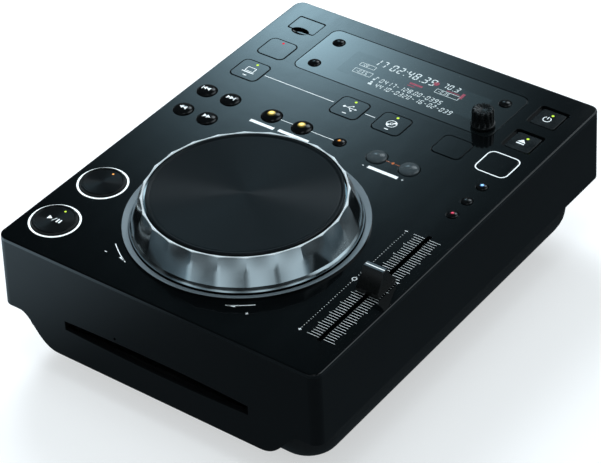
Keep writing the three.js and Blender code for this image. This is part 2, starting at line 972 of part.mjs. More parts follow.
function controlPanel() {
  const plateBody = loft([
    caseRing(panelUnderside, 0),
    caseRing(body.panelHeight - panel.edgeChamfer, 0),
    caseRing(body.panelHeight, panel.edgeChamfer),
  ]);
  const under = panelUnderside - overrun;
  const above = body.panelHeight + overrun;
  const bucket = block(
    stick.wellWidth + 2 * stick.wellWall, stick.wellDepth + 2 * stick.wellWall,
    wellFloor - stick.wellWall, panelUnderside + stick.wellWall / 2, stick.x, stick.y,
  );
  const pillars = pillarYs.flatMap((y) => [-1, 1].map((side) => column(
    panel.pillarRadius, tub.bossBottom + tub.bossHeight + clearance, panelUnderside + panel.thickness / 2,
    side * pillarX, y,
  )));
  const roundHoles = Object.values(roundKeys).map(({ x, y, radius, sides = round.sides }) => prism(
    circle(radius + round.hole, sides, x, y), under, above,
  ));
  const squareHoles = Object.values(flatKeys).map(([x, y]) => prism(outline(
    square.width + 2 * round.hole, square.depth + 2 * round.hole,
    square.corner + round.hole, square.cornerSteps, x, y,
  ), under, above));
  const pockets = Object.values(pocketKeys).flatMap(([x, y]) => [
    prism(
      outline(pocket.width, pocket.depth, pocket.corner, square.cornerSteps, x, y),
      body.panelHeight - pocket.sink, above,
    ),
    prism(outline(
      pocket.keyWidth + 2 * round.hole, pocket.keyDepth + 2 * round.hole,
      pocket.keyCorner, square.cornerSteps, x, y,
    ), under, above),
  ]);
  const windowSeat = prism(outline(
    display.width + clearance, display.depth + clearance,
    display.corner, display.cornerSteps, 0, display.y,
  ), body.panelHeight - display.thickness, above);
  const moduleHole = block(
    display.moduleWidth + 2 * clearance, display.moduleDepth + 2 * clearance, under, above, 0, display.y,
  );
  const selectorHole = prism(circle(selector.hole, round.sides, selector.x, selector.y), under, above);
  const bearingHole = prism(circle(bearing.holeRadius, bearing.sides, dial.x, dial.y), under, above);
  const faderSlot = block(fader.slotWidth, slotLength, under, above, fader.x, fader.y);
  const coverHole = prism(outline(
    stick.width + 2 * clearance, stick.depth + 2 * clearance, stick.corner, 2, stick.x, stick.y,
  ), coverSeat, above);
  const coverBack = block(
    stick.width + 2 * clearance, stick.depth / 2, coverSeat, above,
    stick.x, stick.y + stick.depth / 4 + clearance,
  );
  const well = block(stick.wellWidth, stick.wellDepth, wellFloor, above, stick.x, stick.y);
  const socketHole = block(
    stick.socketWidth + 2 * clearance, stick.socketDepth + 2 * clearance,
    wellFloor - 2 * stick.wellWall, above, stick.x, stick.y,
  );
  const studs = studYs.flatMap((y) => [-1, 1].map((side) => column(
    panel.studRadius, boardTop, panelUnderside + panel.thickness / 2, side * studX, y,
  )));
  return carved(joined([plateBody, bucket, ...pillars, ...studs]), [
    ...roundHoles, ...squareHoles, ...pockets, windowSeat, moduleHole, selectorHole, bearingHole,
    faderSlot, coverHole, coverBack, well, socketHole, notch(0, body.panelHeight - stick.notchSink, above),
  ]);
}

addPart('control_panel', controlPanel(), ...finishes.gloss);

// Display: a clear window let into the panel, over a boxed display module

function displayWindow() {
  const top = body.panelHeight;
  const sheet = prism(
    outline(display.width, display.depth, display.corner, display.cornerSteps, 0, display.y),
    top - display.thickness, top,
  );
  const holes = [
    [-display.buttonX, display.upperY, display.buttonRadius + round.hole],
    [-display.buttonX, display.lowerY, display.buttonRadius + round.hole],
    [display.buttonX, display.upperY, display.buttonRadius + round.hole],
    [selector.x, selector.y, selector.hole],
  ];
  return carved(sheet, holes.map(([x, y, radius]) => prism(
    circle(radius, round.sides, x, y), top - display.thickness - overrun, top + overrun,
  )));
}

function displayModule() {
  const top = body.panelHeight - display.thickness - clearance;
  const frame = block(display.moduleWidth, display.moduleDepth, boardTop, top, 0, display.y);
  const recess = block(
    display.moduleWidth - 2 * display.moduleFrame, display.moduleDepth - 2 * display.moduleFrame,
    top - display.thickness, top + overrun, 0, display.y,
  );
  return carved(frame, [recess]);
}

addPart('display_window', displayWindow(), ...finishes.gloss);
addPart('display_module', displayModule(), ...finishes.matt);

// Switch board: carries a push switch under each button, the slide control and the display

function keyPlaces() {
  const rounds = Object.values(roundKeys).map(({ x, y }) => [x, y]);
  return [...rounds, ...Object.values(flatKeys), ...Object.values(pocketKeys)];
}

function switchBoard() {
  const bottom = boardTop - board.thickness;
  const sheet = block(body.width - 2 * board.inset, body.depth - 2 * board.inset, bottom, boardTop);
  const switches = keyPlaces().map(([x, y]) => block(
    board.switchWidth, board.switchWidth, boardTop - board.thickness / 2, switchTop, x, y,
  ));
  const encoderBody = block(
    selector.switchWidth, selector.switchWidth,
    boardTop - board.thickness / 2, boardTop + selector.switchHeight, selector.x, selector.y,
  );
  const under = bottom - overrun;
  const over = boardTop + selector.switchHeight + overrun;
  const holes = [
    prism(circle(bearing.radius + runningGap, bearing.sides, dial.x, dial.y), under, switchTop),
    block(
      stick.socketWidth + 2 * clearance, stick.socketDepth + 2 * clearance,
      under, switchTop, stick.x, stick.y,
    ),
    prism(circle(selector.shaftRadius + clearance, round.sides, selector.x, selector.y), under, over),
    ...pillarYs.flatMap((y) => [-1, 1].map((side) => column(
      panel.pillarRadius + clearance, under, switchTop, side * pillarX, y,
    ))),
  ];
  return carved(joined([sheet, ...switches, encoderBody]), holes);
}

addPart('switch_board', switchBoard(), ...finishes.circuit);

// Jog dial: a bright skirt with concave flutes, a black spun plate, a steel shaft and an encoder wheel

const webTop = body.panelHeight + dial.ringAbove - dial.plateSeatDrop;
const webBottom = webTop - dial.webThickness;

function flutedRing(radius, depth, above) {
  const count = dial.flutes * dial.stepsPerFlute;
  const points = [];
  for (let i = 0; i < count; i += 1) {
    const along = (i % dial.stepsPerFlute) / dial.stepsPerFlute;
    const scoop = depth * (1 - (2 * along - 1) ** 2);
    const angle = fullTurn * (i + dial.stepsPerFlute / 2) / count;
    points.push(new THREE.Vector3(
      dial.x + (radius - scoop) * Math.cos(angle),
      dial.y + (radius - scoop) * Math.sin(angle),
      body.panelHeight + above,
    ));
  }
  return points;
}

function jogSkirt() {
  const coneShare = (dial.webThickness + dial.plateSeatDrop) / dial.ringAbove;
  const innerTop = dial.cuspRadius + (dial.skirtRadius - dial.cuspRadius) * coneShare - dial.wall;
  const edge = clearance;
  const top = body.panelHeight + dial.ringAbove;
  const bottom = body.panelHeight + dial.bottomAbove;
  const bore = shaft.radius + clearance;
  const outside = loft([
    [dial.skirtRadius - edge, 0, dial.bottomAbove],
    [dial.skirtRadius, 0, dial.bottomAbove + edge],
    [dial.skirtRadius - edge, 0, dial.roundAbove],
    [dial.fluteBottomRadius, dial.fluteDepth / 2, dial.fluteBottomAbove],
    [dial.cuspRadius + edge / 2, dial.fluteDepth, dial.ringAbove - edge],
    [dial.cuspRadius - edge / 2, dial.fluteDepth, dial.ringAbove],
  ].map((ring) => flutedRing(...ring)));
  const upper = turned([
    [0, webTop],
    [dial.ringInnerRadius, webTop],
    [dial.ringInnerRadius, top + overrun],
    [0, top + overrun],
  ], plate.sides, dial.x, dial.y);
  const lower = turned([
    [0, bottom - overrun],
    [dial.skirtRadius - dial.wall, bottom - overrun],
    [dial.skirtRadius - dial.wall, bottom],
    [innerTop, webBottom],
    [0, webBottom],
  ], plate.sides, dial.x, dial.y);
  const hole = prism(circle(bore, shaft.sides, dial.x, dial.y), webBottom - overrun, webTop + overrun);
  return carved(outside, [upper, lower, hole]);
}

function jogPlate() {
  const seat = webTop;
  const top = seat + plate.lipHeight;
  const face = top - plate.faceDrop;
  const hollow = seat + shaft.headHeight + clearance;
  const inner = plate.radius - 2 * plate.lipWidth;
  return turned([
    [0, hollow],
    [inner, hollow],
    [inner, seat],
    [plate.radius - plate.lipRound / 2, seat],
    [plate.radius, seat + plate.lipRound / 2],
    [plate.radius, top - plate.lipRound],
    [plate.radius - plate.lipRound / 3, top - plate.lipRound / 3],
    [plate.radius - plate.lipRound, top],
    [plate.radius - plate.lipWidth, top - plate.lipRound / 3],
    [inner + plate.lipRound, face],
    [0, face],
  ], plate.sides, dial.x, dial.y);
}

function jogShaft() {
  const headTop = webTop + shaft.headHeight;
  const end = body.panelHeight - shaft.bottomBelowPanel;
  return turned([
    [0, end],
    [shaft.radius, end],
    [shaft.radius, webTop],
    [shaft.headRadius, webTop],
    [shaft.headRadius, headTop],
    [0, headTop],
  ], shaft.sides, dial.x, dial.y);
}

const encoderBottom = body.panelHeight - shaft.bottomBelowPanel + encoder.aboveShaftEnd;

function encoderWheel() {
  const bore = shaft.radius + clearance;
  const wheel = turned([
    [bore, encoderBottom],
    [encoder.hubRadius, encoderBottom],
    [encoder.hubRadius, encoderBottom + encoder.hubHeight - encoder.thickness],
    [encoder.radius, encoderBottom + encoder.hubHeight - encoder.thickness],
    [encoder.radius, encoderBottom + encoder.hubHeight],
    [bore, encoderBottom + encoder.hubHeight],
    [bore, encoderBottom],
  ], shaft.sides, dial.x, dial.y);
  const middle = (encoder.slotInnerRadius + encoder.slotOuterRadius) / 2;
  const pitch = fullTurn * middle / encoder.slots;
  const slots = Array.from({ length: encoder.slots }, (_, i) => block(
    encoder.slotOuterRadius - encoder.slotInnerRadius, pitch * encoder.slotShare,
    encoderBottom - overrun, encoderBottom + encoder.hubHeight + overrun, middle, 0,
  ).rotateZ(fullTurn * i / encoder.slots).translate(dial.x, dial.y, 0));
  return carved(wheel, slots);
}

addPart('jog_skirt', jogSkirt(), ...finishes.chrome);
addPart('jog_plate', jogPlate(), ...finishes.satin);
addPart('jog_shaft', jogShaft(), ...finishes.steel);
addPart('encoder_wheel', encoderWheel(), ...finishes.steel);

// Dial bearing: a flanged bush under the panel, with its tube up inside the skirt

function dialBearing() {
  const flangeTop = panelUnderside;
  const flangeBottom = flangeTop - bearing.flangeThickness;
  const bore = shaft.radius + clearance;
  return turned([
    [bore, body.panelHeight - bearing.belowPanel],
    [bearing.radius, body.panelHeight - bearing.belowPanel],
    [bearing.radius, flangeBottom],
    [bearing.flangeRadius, flangeBottom],
    [bearing.flangeRadius, flangeTop],
    [bearing.radius, flangeTop],
    [bearing.radius, body.panelHeight + bearing.abovePanel],
    [bore, body.panelHeight + bearing.abovePanel],
    [bore, body.panelHeight - bearing.belowPanel],
  ], shaft.sides, dial.x, dial.y);
}

addPart('dial_bearing', dialBearing(), ...finishes.bronze);

// Dial bezel: a bright low ring on the panel, round the skirt

function dialBezel() {
  const low = body.panelHeight;
  const high = low + bezel.height;
  const third = (bezel.outerRadius - bezel.innerRadius) / 3;
  return turned([
    [bezel.innerRadius, low],
    [bezel.outerRadius, low],
    [bezel.outerRadius - third / 2, high - bezel.height / 3],
    [bezel.outerRadius - third, high],
    [bezel.innerRadius + third / 2, high],
    [bezel.innerRadius, high - bezel.height / 3],
    [bezel.innerRadius, low],
  ], bezel.sides, dial.x, dial.y);
}

addPart('dial_bezel', dialBezel(), ...finishes.chrome);

// Tempo slide control: a body on the board, a carriage with a lever, and a waisted cap

const faderBodyTop = panelUnderside - clearance;
const faderInside = fader.bodyWidth - 2 * fader.wall;
const carriageBottom = boardTop + fader.wall + clearance;
const carriageTop = faderBodyTop - fader.wall - clearance;
const leverTop = body.panelHeight + fader.leverAbove;

function faderBody() {
  const housing = block(fader.bodyWidth, fader.bodyLength, boardTop, faderBodyTop, fader.x, fader.y);
  const hollow = block(
    faderInside, fader.travel + fader.carriageLength + 2 * clearance,
    carriageBottom - clearance, carriageTop + clearance, fader.x, fader.y,
  );
  const opening = block(
    fader.slotWidth, slotLength, carriageTop, faderBodyTop + overrun, fader.x, fader.y,
  );
  return carved(housing, [hollow, opening]);
}

function faderCarriage() {
  return joined([
    block(
      faderInside - 2 * clearance, fader.carriageLength, carriageBottom, carriageTop, fader.x, fader.y,
    ),
    block(
      fader.leverWidth, fader.leverLength, carriageTop - fader.shoulder, leverTop, fader.x, fader.y,
    ),
  ]);
}

// Half of the cap's side outline, from the foot up to the ridge
function capFlank(side) {
  const half = fader.capLength / 2;
  const ridge = fader.ridgeLength / 2;
  const top = capBottom + fader.capHeight;
  const curve = new THREE.QuadraticBezierCurve(
    new THREE.Vector2(side * half, capBottom + fader.footHeight),
    new THREE.Vector2(side * fader.waistLength / 2, capBottom + fader.capHeight * fader.waistShare),
    new THREE.Vector2(side * ridge, top),
  );
  return [new THREE.Vector2(side * half, capBottom), ...curve.getPoints(fader.profileSteps)];
}

function faderCap() {
  const points = [...capFlank(1), ...capFlank(-1).reverse()];
  const place = points.map((p) => new THREE.Vector2(fader.y + p.x, p.y));
  const low = fader.capWidth / 2;
  const high = low - fader.sideTaper;
  const taper = [
    new THREE.Vector2(fader.x - low, capBottom - overrun),
    new THREE.Vector2(fader.x + low, capBottom - overrun),
    new THREE.Vector2(fader.x + high, capBottom + fader.capHeight + overrun),
    new THREE.Vector2(fader.x - high, capBottom + fader.capHeight + overrun),
  ];
  const long = sidePrism(place, fader.x - low, fader.x + low);
  const across = wallPrism(taper, fader.y - fader.capLength, fader.y + fader.capLength);
  const cap = toGeometry(toSolid(long).intersect(toSolid(across)));
  const bore = block(
    fader.leverWidth + 2 * clearance, fader.leverLength + 2 * clearance,
    capBottom - overrun, leverTop, fader.x, fader.y,
  );
  return carved(cap, [bore]);
}

addPart('fader_body', faderBody(), ...finishes.satin);
addPart('fader_carriage', faderCarriage(), ...finishes.sheet);
addPart('fader_cap', faderCap(), ...finishes.satin);

// Selector: a ribbed knob turning on a shaft that can also be pushed

const knobBottom = body.panelHeight + selector.above;

function selectorShaft() {
  const collarTop = panelUnderside - clearance;
  const collarBottom = collarTop - selector.collarThickness;
  return turned([
    [0, boardTop],
    [selector.shaftRadius, boardTop],
    [selector.shaftRadius, collarBottom],
    [selector.collarRadius, collarBottom],
    [selector.collarRadius, collarTop],
    [selector.shaftRadius, collarTop],
    [selector.shaftRadius, body.panelHeight + selector.shaftAbove],
    [0, body.panelHeight + selector.shaftAbove],
  ], round.sides, selector.x, selector.y);
}

function ribbedRing(radius, height) {
  const count = selector.ribs * 2;
  return Array.from({ length: count }, (_, i) => {
    const low = (i % 2) * selector.ribDepth;
    const angle = fullTurn * i / count;
    return new THREE.Vector3(
      selector.x + (radius - low) * Math.cos(angle),
      selector.y + (radius - low) * Math.sin(angle),
      height,
    );
  });
}

function selectorKnob() {
  const top = knobBottom + selector.height;
  const grip = loft([
    ribbedRing(selector.radius, knobBottom + selector.flangeHeight / 2),
    ribbedRing(selector.topRadius, top - round.edge),
    ribbedRing(selector.topRadius - round.edge, top),
  ]);
  const flange = prism(
    circle(selector.flangeRadius, round.sides * 2, selector.x, selector.y),
    knobBottom, knobBottom + selector.flangeHeight,
  );
  const bore = prism(
    circle(selector.shaftRadius + clearance, round.sides, selector.x, selector.y),
    knobBottom - overrun, body.panelHeight + selector.shaftAbove,
  );
  return carved(joined([grip, flange]), [bore]);
}

addPart('selector_shaft', selectorShaft(), ...finishes.steel);
addPart('selector_knob', selectorKnob(), ...finishes.satin);

// Memory stick socket under a hinged cover

const hingeRadius = stick.coverThickness / 2;
const hingeY = stick.y + stick.depth / 2 - hingeRadius;

function stickCover() {
  const front = stick.y - stick.depth / 2;
  const top = body.panelHeight;
  const lid = prism(outline(
    stick.width, hingeY - front, stick.corner, 2, stick.x, (hingeY + front) / 2,
  ), top - stick.coverThickness, top);
  const squared = block(
    stick.width, stick.depth / 2, top - stick.coverThickness, top, stick.x, hingeY - stick.depth / 4,
  );
  const barrel = new THREE.CylinderGeometry(hingeRadius, hingeRadius, stick.width, round.sides)
    .rotateZ(quarterTurn).translate(stick.x, hingeY, top - hingeRadius);
  return carved(joined([lid, squared, barrel]), [
    notch(0, top - stick.coverThickness - overrun, top + overrun),
  ]);
}

function stickSocket() {
  const top = wellFloor;
  const bottom = top - stick.socketHeight;
  const shell = block(stick.socketWidth, stick.socketDepth, bottom, top, stick.x, stick.y);
  const floor = bottom + stick.socketWall;
  const hollow = block(
    stick.socketWidth - 2 * stick.socketWall, stick.socketDepth - 2 * stick.socketWall,
    floor, top + overrun, stick.x, stick.y,
  );
  const tongue = block(
    stick.socketWidth - 2 * (stick.socketWall + clearance), stick.tongueThickness,
    floor - stick.socketWall / 2, top - stick.socketWall, stick.x,
    stick.y + stick.socketDepth / 2 - stick.socketWall - clearance - stick.tongueThickness / 2,
  );
  return joined([carved(shell, [hollow]), tongue]);
}

addPart('usb_cover', stickCover(), ...finishes.satin);
addPart('usb_stick_socket', stickSocket(), ...finishes.sheet);

// Buttons: each has a cap in its hole, a flange under the panel and a stem over its switch

const flangeTop = panelUnderside - clearance;
const flangeBottom = flangeTop - round.flangeThickness;
const stemBottom = switchTop + round.travel + round.stemGap;

function roundButton({ x, y, radius, rise, sides = round.sides }) {
  const top = body.panelHeight + rise;
  const edge = Math.min(round.edge, rise);
  return turned([
    [0, stemBottom],
    [round.stemRadius, stemBottom],
    [round.stemRadius, flangeBottom],
    [radius + round.flangeWidth, flangeBottom],
    [radius + round.flangeWidth, flangeTop],
    [radius, flangeTop],
    [radius, top - edge],
    [radius - edge, top],
    [0, top],
  ], sides, x, y);
}

function flatButton(width, depth, corner, x, y, top) {
  const cap = loft([
    ringAt(outline(width, depth, corner, square.cornerSteps, x, y), flangeTop - round.edge),
    ringAt(outline(width, depth, corner, square.cornerSteps, x, y), top - round.edge / 2),
    ringAt(outline(
      width - round.edge, depth - round.edge, corner - round.edge / 2, square.cornerSteps, x, y,
    ), top),
  ]);
  const grow = 2 * round.flangeWidth;
  const flange = prism(
    outline(width + grow, depth + grow, corner, square.cornerSteps, x, y), flangeBottom, flangeTop,
  );
  const stem = column(round.stemRadius, stemBottom, flangeBottom + round.edge, x, y);
  return joined([cap, flange, stem]);
}

Object.entries(roundKeys).forEach(([name, key]) => {
  addPart(name, roundButton(key), ...finishes.satin);
});

Object.entries(flatKeys).forEach(([name, [x, y]]) => {
  const key = flatButton(square.width, square.depth, square.corner, x, y, body.panelHeight + keys.rise);
  addPart(name, key, ...finishes.satin);
});

Object.entries(pocketKeys).forEach(([name, [x, y]]) => {
  const top = body.panelHeight - pocket.keyBelow;
  const key = flatButton(pocket.keyWidth, pocket.keyDepth, pocket.keyCorner, x, y, top);
  addPart(name, key, ...finishes.satin);
});

// Disc drive: a pressed frame with a clamp bridge, a feed roller, a hub and a sled on two rods

const rollerY = driveFront + drive.rollerInset;
const sledY = hubY + drive.sledStart;

// A rod along Y
function rod(radius, front, back, x, height) {
  return new THREE.CylinderGeometry(radius, radius, back - front, drive.rollerSides)
    .translate(x, (front + back) / 2, height);
}

function driveFrame() {
  const baseTop = drive.baseHeight + drive.sheet;
  const whole = block(
    2 * drive.halfWidth, drive.length, drive.baseHeight, drive.sideHeight, 0, driveY,
  );
  const inside = block(
    2 * (drive.halfWidth - drive.sheet), drive.length, baseTop, drive.sideHeight + overrun,
    0, driveY - drive.sheet,
  );
  const bridgeTop = drive.sideHeight - drive.bridgeDrop;
  const bridge = block(
    2 * drive.halfWidth - drive.sheet, drive.bridgeDepth, bridgeTop - drive.sheet, bridgeTop,
    0, hubY,
  );
  const motor = prism(
    circle(drive.motorRadius, drive.sides, 0, hubY), baseTop - drive.sheet / 2, drive.motorTop,
  );
  const tabs = [rodFront, rodBack].flatMap((y) => [-1, 1].map((x) => block(
    drive.tabWidth, drive.tabThickness, baseTop - drive.sheet / 2,
    drive.rodHeight + drive.rodRadius + drive.tabThickness, x * drive.rodX, y,
  )));
  const axle = new THREE.CylinderGeometry(
    drive.rollerEndRadius + clearance, drive.rollerEndRadius + clearance,
    2 * (drive.halfWidth + overrun), drive.rollerSides,
  ).rotateZ(quarterTurn).translate(0, rollerY, drive.rollerHeight);
  const clampHole = prism(
    circle(drive.motorRadius, drive.sides, 0, hubY), drive.sideHeight - 2 * drive.sheet,
    drive.sideHeight + overrun,
  );
  const spindleHole = prism(
    circle(drive.spindleRadius + clearance, drive.sides, 0, hubY),
    drive.spindleBottom - clearance, drive.motorTop + overrun,
  );
  const rodHoles = [-1, 1].map((x) => rod(
    drive.rodRadius + clearance / 2, rodFront, rodBack, x * drive.rodX, drive.rodHeight,
  ));
  return carved(joined([carved(whole, [inside]), bridge, motor, ...tabs]), [
    axle, clampHole, spindleHole, ...rodHoles,
  ]);
}

function feedRoller() {
  const long = 2 * drive.rollerHalfLength;
  const across = (radius, length) => new THREE.CylinderGeometry(radius, radius, length, drive.rollerSides)
    .rotateZ(quarterTurn).translate(0, rollerY, drive.rollerHeight);
  return joined([across(drive.rollerRadius, long), across(drive.rollerEndRadius, 2 * drive.halfWidth)]);
}

function discHub() {
  return turned([
    [0, drive.spindleBottom],
    [drive.spindleRadius, drive.spindleBottom],
    [drive.spindleRadius, drive.hubBottom],
    [drive.hubRadius, drive.hubBottom],
    [drive.hubRadius, drive.hubTop],
    [drive.coneRadius, drive.hubTop],
    [drive.coneTopRadius, drive.coneTop],
    [0, drive.coneTop],
  ], drive.sides, 0, hubY);
}

function pickupSled() {
  const carrier = block(
    drive.sledWidth, drive.sledDepth, drive.sledBottom, drive.sledTop, 0, sledY,
  );
  const lens = prism(
    circle(drive.lensRadius, round.sides, 0, sledY), drive.sledTop - drive.lensRise,
    drive.sledTop + drive.lensRise,
  );
  const bores = [-1, 1].map((x) => rod(
    drive.rodRadius + clearance, sledY - drive.sledDepth, sledY + drive.sledDepth,
    x * drive.rodX, drive.rodHeight,
  ));
  return carved(joined([carrier, lens]), bores);
}

addPart('drive_frame', driveFrame(), ...finishes.sheet);
addPart('feed_roller', feedRoller(), ...finishes.rubber);
addPart('disc_hub', discHub(), ...finishes.matt);
addPart('pickup_sled', pickupSled(), ...finishes.matt);
[['sled_rod_left', -1], ['sled_rod_right', 1]].forEach(([name, side]) => {
  const piece = rod(drive.rodRadius, rodFront, rodBack, side * drive.rodX, drive.rodHeight);
  addPart(name, piece, ...finishes.steel);
});

// Power board and main board, on standoffs in the tub behind the drive

function powerBoard() {
  const top = power.height + power.thickness;
  const footing = power.height + power.thickness / 2;
  const sheet = block(power.width, power.depth, power.height, top, power.x, power.y);
  const x = power.x + power.transformerX;
  const y = power.y + power.transformerY;
  const core = block(
    power.transformerWidth, power.transformerDepth, footing, top + power.transformerHeight, x, y,
  );
  const coil = block(
    power.coilWidth, power.transformerDepth + 2 * power.coilOverhang, top + power.coilOverhang,
    top + power.transformerHeight - power.coilOverhang, x, y,
  );
  const capacitors = Array.from({ length: power.capacitorCount }, (_, i) => prism(
    circle(
      power.capacitorRadius, round.sides, power.x + power.capacitorX,
      power.y + (i - (power.capacitorCount - 1) / 2) * power.capacitorPitch,
    ),
    footing, top + power.capacitorHeight,
  ));
  return joined([sheet, core, coil, ...capacitors]);
}

function mainBoard() {
  const top = logic.height + logic.thickness;
  const footing = logic.height + logic.thickness / 2;
  const sheet = block(logic.width, logic.depth, logic.height, top, logic.x, logic.y);
  const chip = block(
    logic.chipWidth, logic.chipWidth, footing, top + logic.chipHeight, logic.x + logic.chipX, logic.y,
  );
  const sinkX = logic.x + logic.sinkX;
  const base = block(logic.sinkWidth, logic.sinkWidth, footing, top + logic.sinkBase, sinkX, logic.y);
  const pitch = logic.sinkWidth / logic.sinkFins;
  const fins = Array.from({ length: logic.sinkFins }, (_, i) => block(
    pitch * logic.finShare, logic.sinkWidth, footing, top + logic.sinkHeight,
    sinkX + (i - (logic.sinkFins - 1) / 2) * pitch, logic.y,
  ));
  return joined([sheet, chip, base, ...fins]);
}

addPart('power_board', powerBoard(), ...finishes.circuit);
addPart('main_board', mainBoard(), ...finishes.circuit);

// Rear sockets: two phono jacks, a square data socket and a two-pole mains inlet

const rearInside = halfDepth - body.wall + outset(rear.height) - clearance;
const rearFace = halfDepth + outset(rear.height);
const bodyFront = rearInside - rear.bodyDepth;

// A rectangle in X and Z about (x, the sockets' height)
function rearRectangle(width, height, x) {
  return outline(width, height, rear.lip, 1, x, rear.height);
}

function audioJack(x) {
  const reach = halfDepth + rear.jackReach;
  const barrel = turnedBack([
    [0, rearInside - rear.lip],
    [rear.jackRadius, rearInside - rear.lip],
    [rear.jackRadius, reach - rear.lip],
    [rear.jackRadius - rear.lip / 2, reach],
    [0, reach],
  ], rear.jackSides, x, rear.height);
  const bore = turnedBack([
    [0, reach - rear.jackBoreDepth],
    [rear.jackBore, reach - rear.jackBoreDepth],
    [rear.jackBore, reach + overrun],
    [0, reach + overrun],
  ], rear.jackSides, x, rear.height);
  const housing = wallPrism(rearRectangle(rear.jackBody, rear.jackBody, x), bodyFront, rearInside);
  return carved(joined([housing, barrel]), [bore]);
}

function computerSocket() {
  const { computerWidth: width, computerHeight: height, computerX: x } = rear;
  const flange = 2 * rear.computerFlange;
  const shell = wallPrism(rearRectangle(width, height, x), bodyFront, rearFace);
  const stop = wallPrism(
    rearRectangle(width + flange, height + flange, x), rearInside - rear.computerFlange, rearInside,
  );
  const inner = 2 * rear.computerWall;
  const cavity = wallPrism(
    rearRectangle(width - inner, height - inner, x), rearFace - rear.socketDepth, rearFace + overrun,
  );
  const tongue = wallPrism(
    rearRectangle(rear.computerTongue, rear.computerTongue - rear.lip, x),
    rearFace - rear.socketDepth - rear.lip, rearFace - 2 * rear.lip,
  );
  return joined([carved(joined([shell, stop]), [cavity]), tongue]);
}

function mainsInlet() {
  const { mainsWidth: width, mainsHeight: height, mainsX: x } = rear;
  const corner = height / 3;
  const flange = 2 * rear.mainsFlange;
  const shell = wallPrism(outline(width, height, corner, 3, x, rear.height), bodyFront, rearFace);
  const stop = wallPrism(
    outline(width + flange, height + flange, corner, 3, x, rear.height),
    rearInside - rear.mainsFlange, rearInside,
  );
  const cavityRadius = height / 2 - rear.mainsWall;
  const cavity = [-1, 1].map((side) => wallPrism(
    circle(cavityRadius, rear.jackSides, x + side * rear.mainsPinPitch / 2, rear.height),
    rearFace - rear.socketDepth, rearFace + overrun,
  ));
  const pins = [-1, 1].map((side) => wallPrism(
    circle(rear.mainsPinRadius, rear.jackSides / 2, x + side * rear.mainsPinPitch / 2, rear.height),
    rearFace - rear.socketDepth - rear.lip, rearFace - 2 * rear.lip,
  ));
  return joined([carved(joined([shell, stop]), cavity), ...pins]);
}

addPart('audio_jack_left', audioJack(rear.audioLeftX), ...finishes.steel);
addPart('audio_jack_right', audioJack(rear.audioLeftX + rear.audioPitch), ...finishes.steel);
addPart('usb_computer_socket', computerSocket(), ...finishes.sheet);
addPart('mains_inlet', mainsInlet(), ...finishes.matt);

// The origin is at the middle of the object's footprint, on the ground

const bounds = new THREE.Box3().setFromObject(player);
const centre = bounds.getCenter(new THREE.Vector3());
player.children.forEach((mesh) => mesh.geometry.translate(-centre.x, -centre.y, -bounds.min.z));

export default player;
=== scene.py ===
import math

import bmesh
import bpy
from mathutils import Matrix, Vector


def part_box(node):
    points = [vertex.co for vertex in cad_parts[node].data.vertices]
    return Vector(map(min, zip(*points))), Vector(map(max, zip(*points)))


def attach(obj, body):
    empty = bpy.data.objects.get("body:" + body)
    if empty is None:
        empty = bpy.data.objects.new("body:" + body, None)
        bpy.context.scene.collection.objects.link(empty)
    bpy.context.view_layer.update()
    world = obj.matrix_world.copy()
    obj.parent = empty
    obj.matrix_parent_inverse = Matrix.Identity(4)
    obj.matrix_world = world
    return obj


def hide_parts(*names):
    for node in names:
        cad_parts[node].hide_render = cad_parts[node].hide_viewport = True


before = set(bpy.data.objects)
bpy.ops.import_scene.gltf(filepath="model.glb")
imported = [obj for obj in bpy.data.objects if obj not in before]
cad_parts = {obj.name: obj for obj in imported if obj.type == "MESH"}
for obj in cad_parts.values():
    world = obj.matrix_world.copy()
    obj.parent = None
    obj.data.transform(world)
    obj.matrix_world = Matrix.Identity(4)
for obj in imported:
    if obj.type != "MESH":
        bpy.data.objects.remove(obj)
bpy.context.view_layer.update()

mm = 0.001

# Studio: a wide pale floor under the player, white surroundings, one large lamp high at the back left that throws
# the shadow to the front right, and weaker lamps above and in front. The camera is long, as for a product picture.


def shade(hex_colour):
    """An sRGB hex colour as linear red, green, blue and alpha."""
    parts = [int(hex_colour[i:i + 2], 16) / 255 for i in (1, 3, 5)]
    return (*(p / 12.92 if p <= 0.04045 else ((p + 0.055) / 1.055) ** 2.4 for p in parts), 1.0)


def put(tree, kind, inputs=None, **settings):
    """A new node with its settings. Each input is a value, a node whose first output it takes, or a node's output."""
    made = tree.nodes.new("ShaderNode" + kind)
    for key, value in settings.items():
        setattr(made, key, value)
    for key, value in (inputs or {}).items():
        if isinstance(value, bpy.types.Node):
            value = value.outputs[0]
        if isinstance(value, bpy.types.NodeSocket):
            tree.links.new(value, made.inputs[key])
        else:
            made.inputs[key].default_value = value
    return made


def blank(owner):
    """The empty node tree of a material or world."""
    owner.use_nodes = True
    owner.node_tree.nodes.clear()
    return owner.node_tree


def material(name):
    """A new material, its empty node tree, and the place on the piece as a node's output."""
    made = bpy.data.materials.new(name)
    tree = blank(made)
    return made, tree, put(tree, "TexCoord").outputs["Object"]


def span(value, *limits):
    """The inputs that map a value from one range to another."""
    return {"Value": value, **dict(zip(("From Min", "From Max", "To Min", "To Max"), limits))}


def light_path(tree):
    """What a ray has met, and whether it was mirrored or refracted on its way."""
    seen = put(tree, "LightPath")
    return seen, put(tree, "Math", {
        0: seen.outputs["Is Glossy Ray"], 1: seen.outputs["Is Transmission Ray"],
    }, operation="MAXIMUM")


def measured(tree, how, way, other, start, full, at_start, at_full):
    """A level that changes smoothly with the distance or the cosine between two vectors."""
    found = put(tree, "VectorMath", {0: way, 1: other}, operation=how).outputs["Value"]
    return put(tree, "MapRange", span(found, start, full, at_start, at_full), interpolation_type="SMOOTHSTEP")


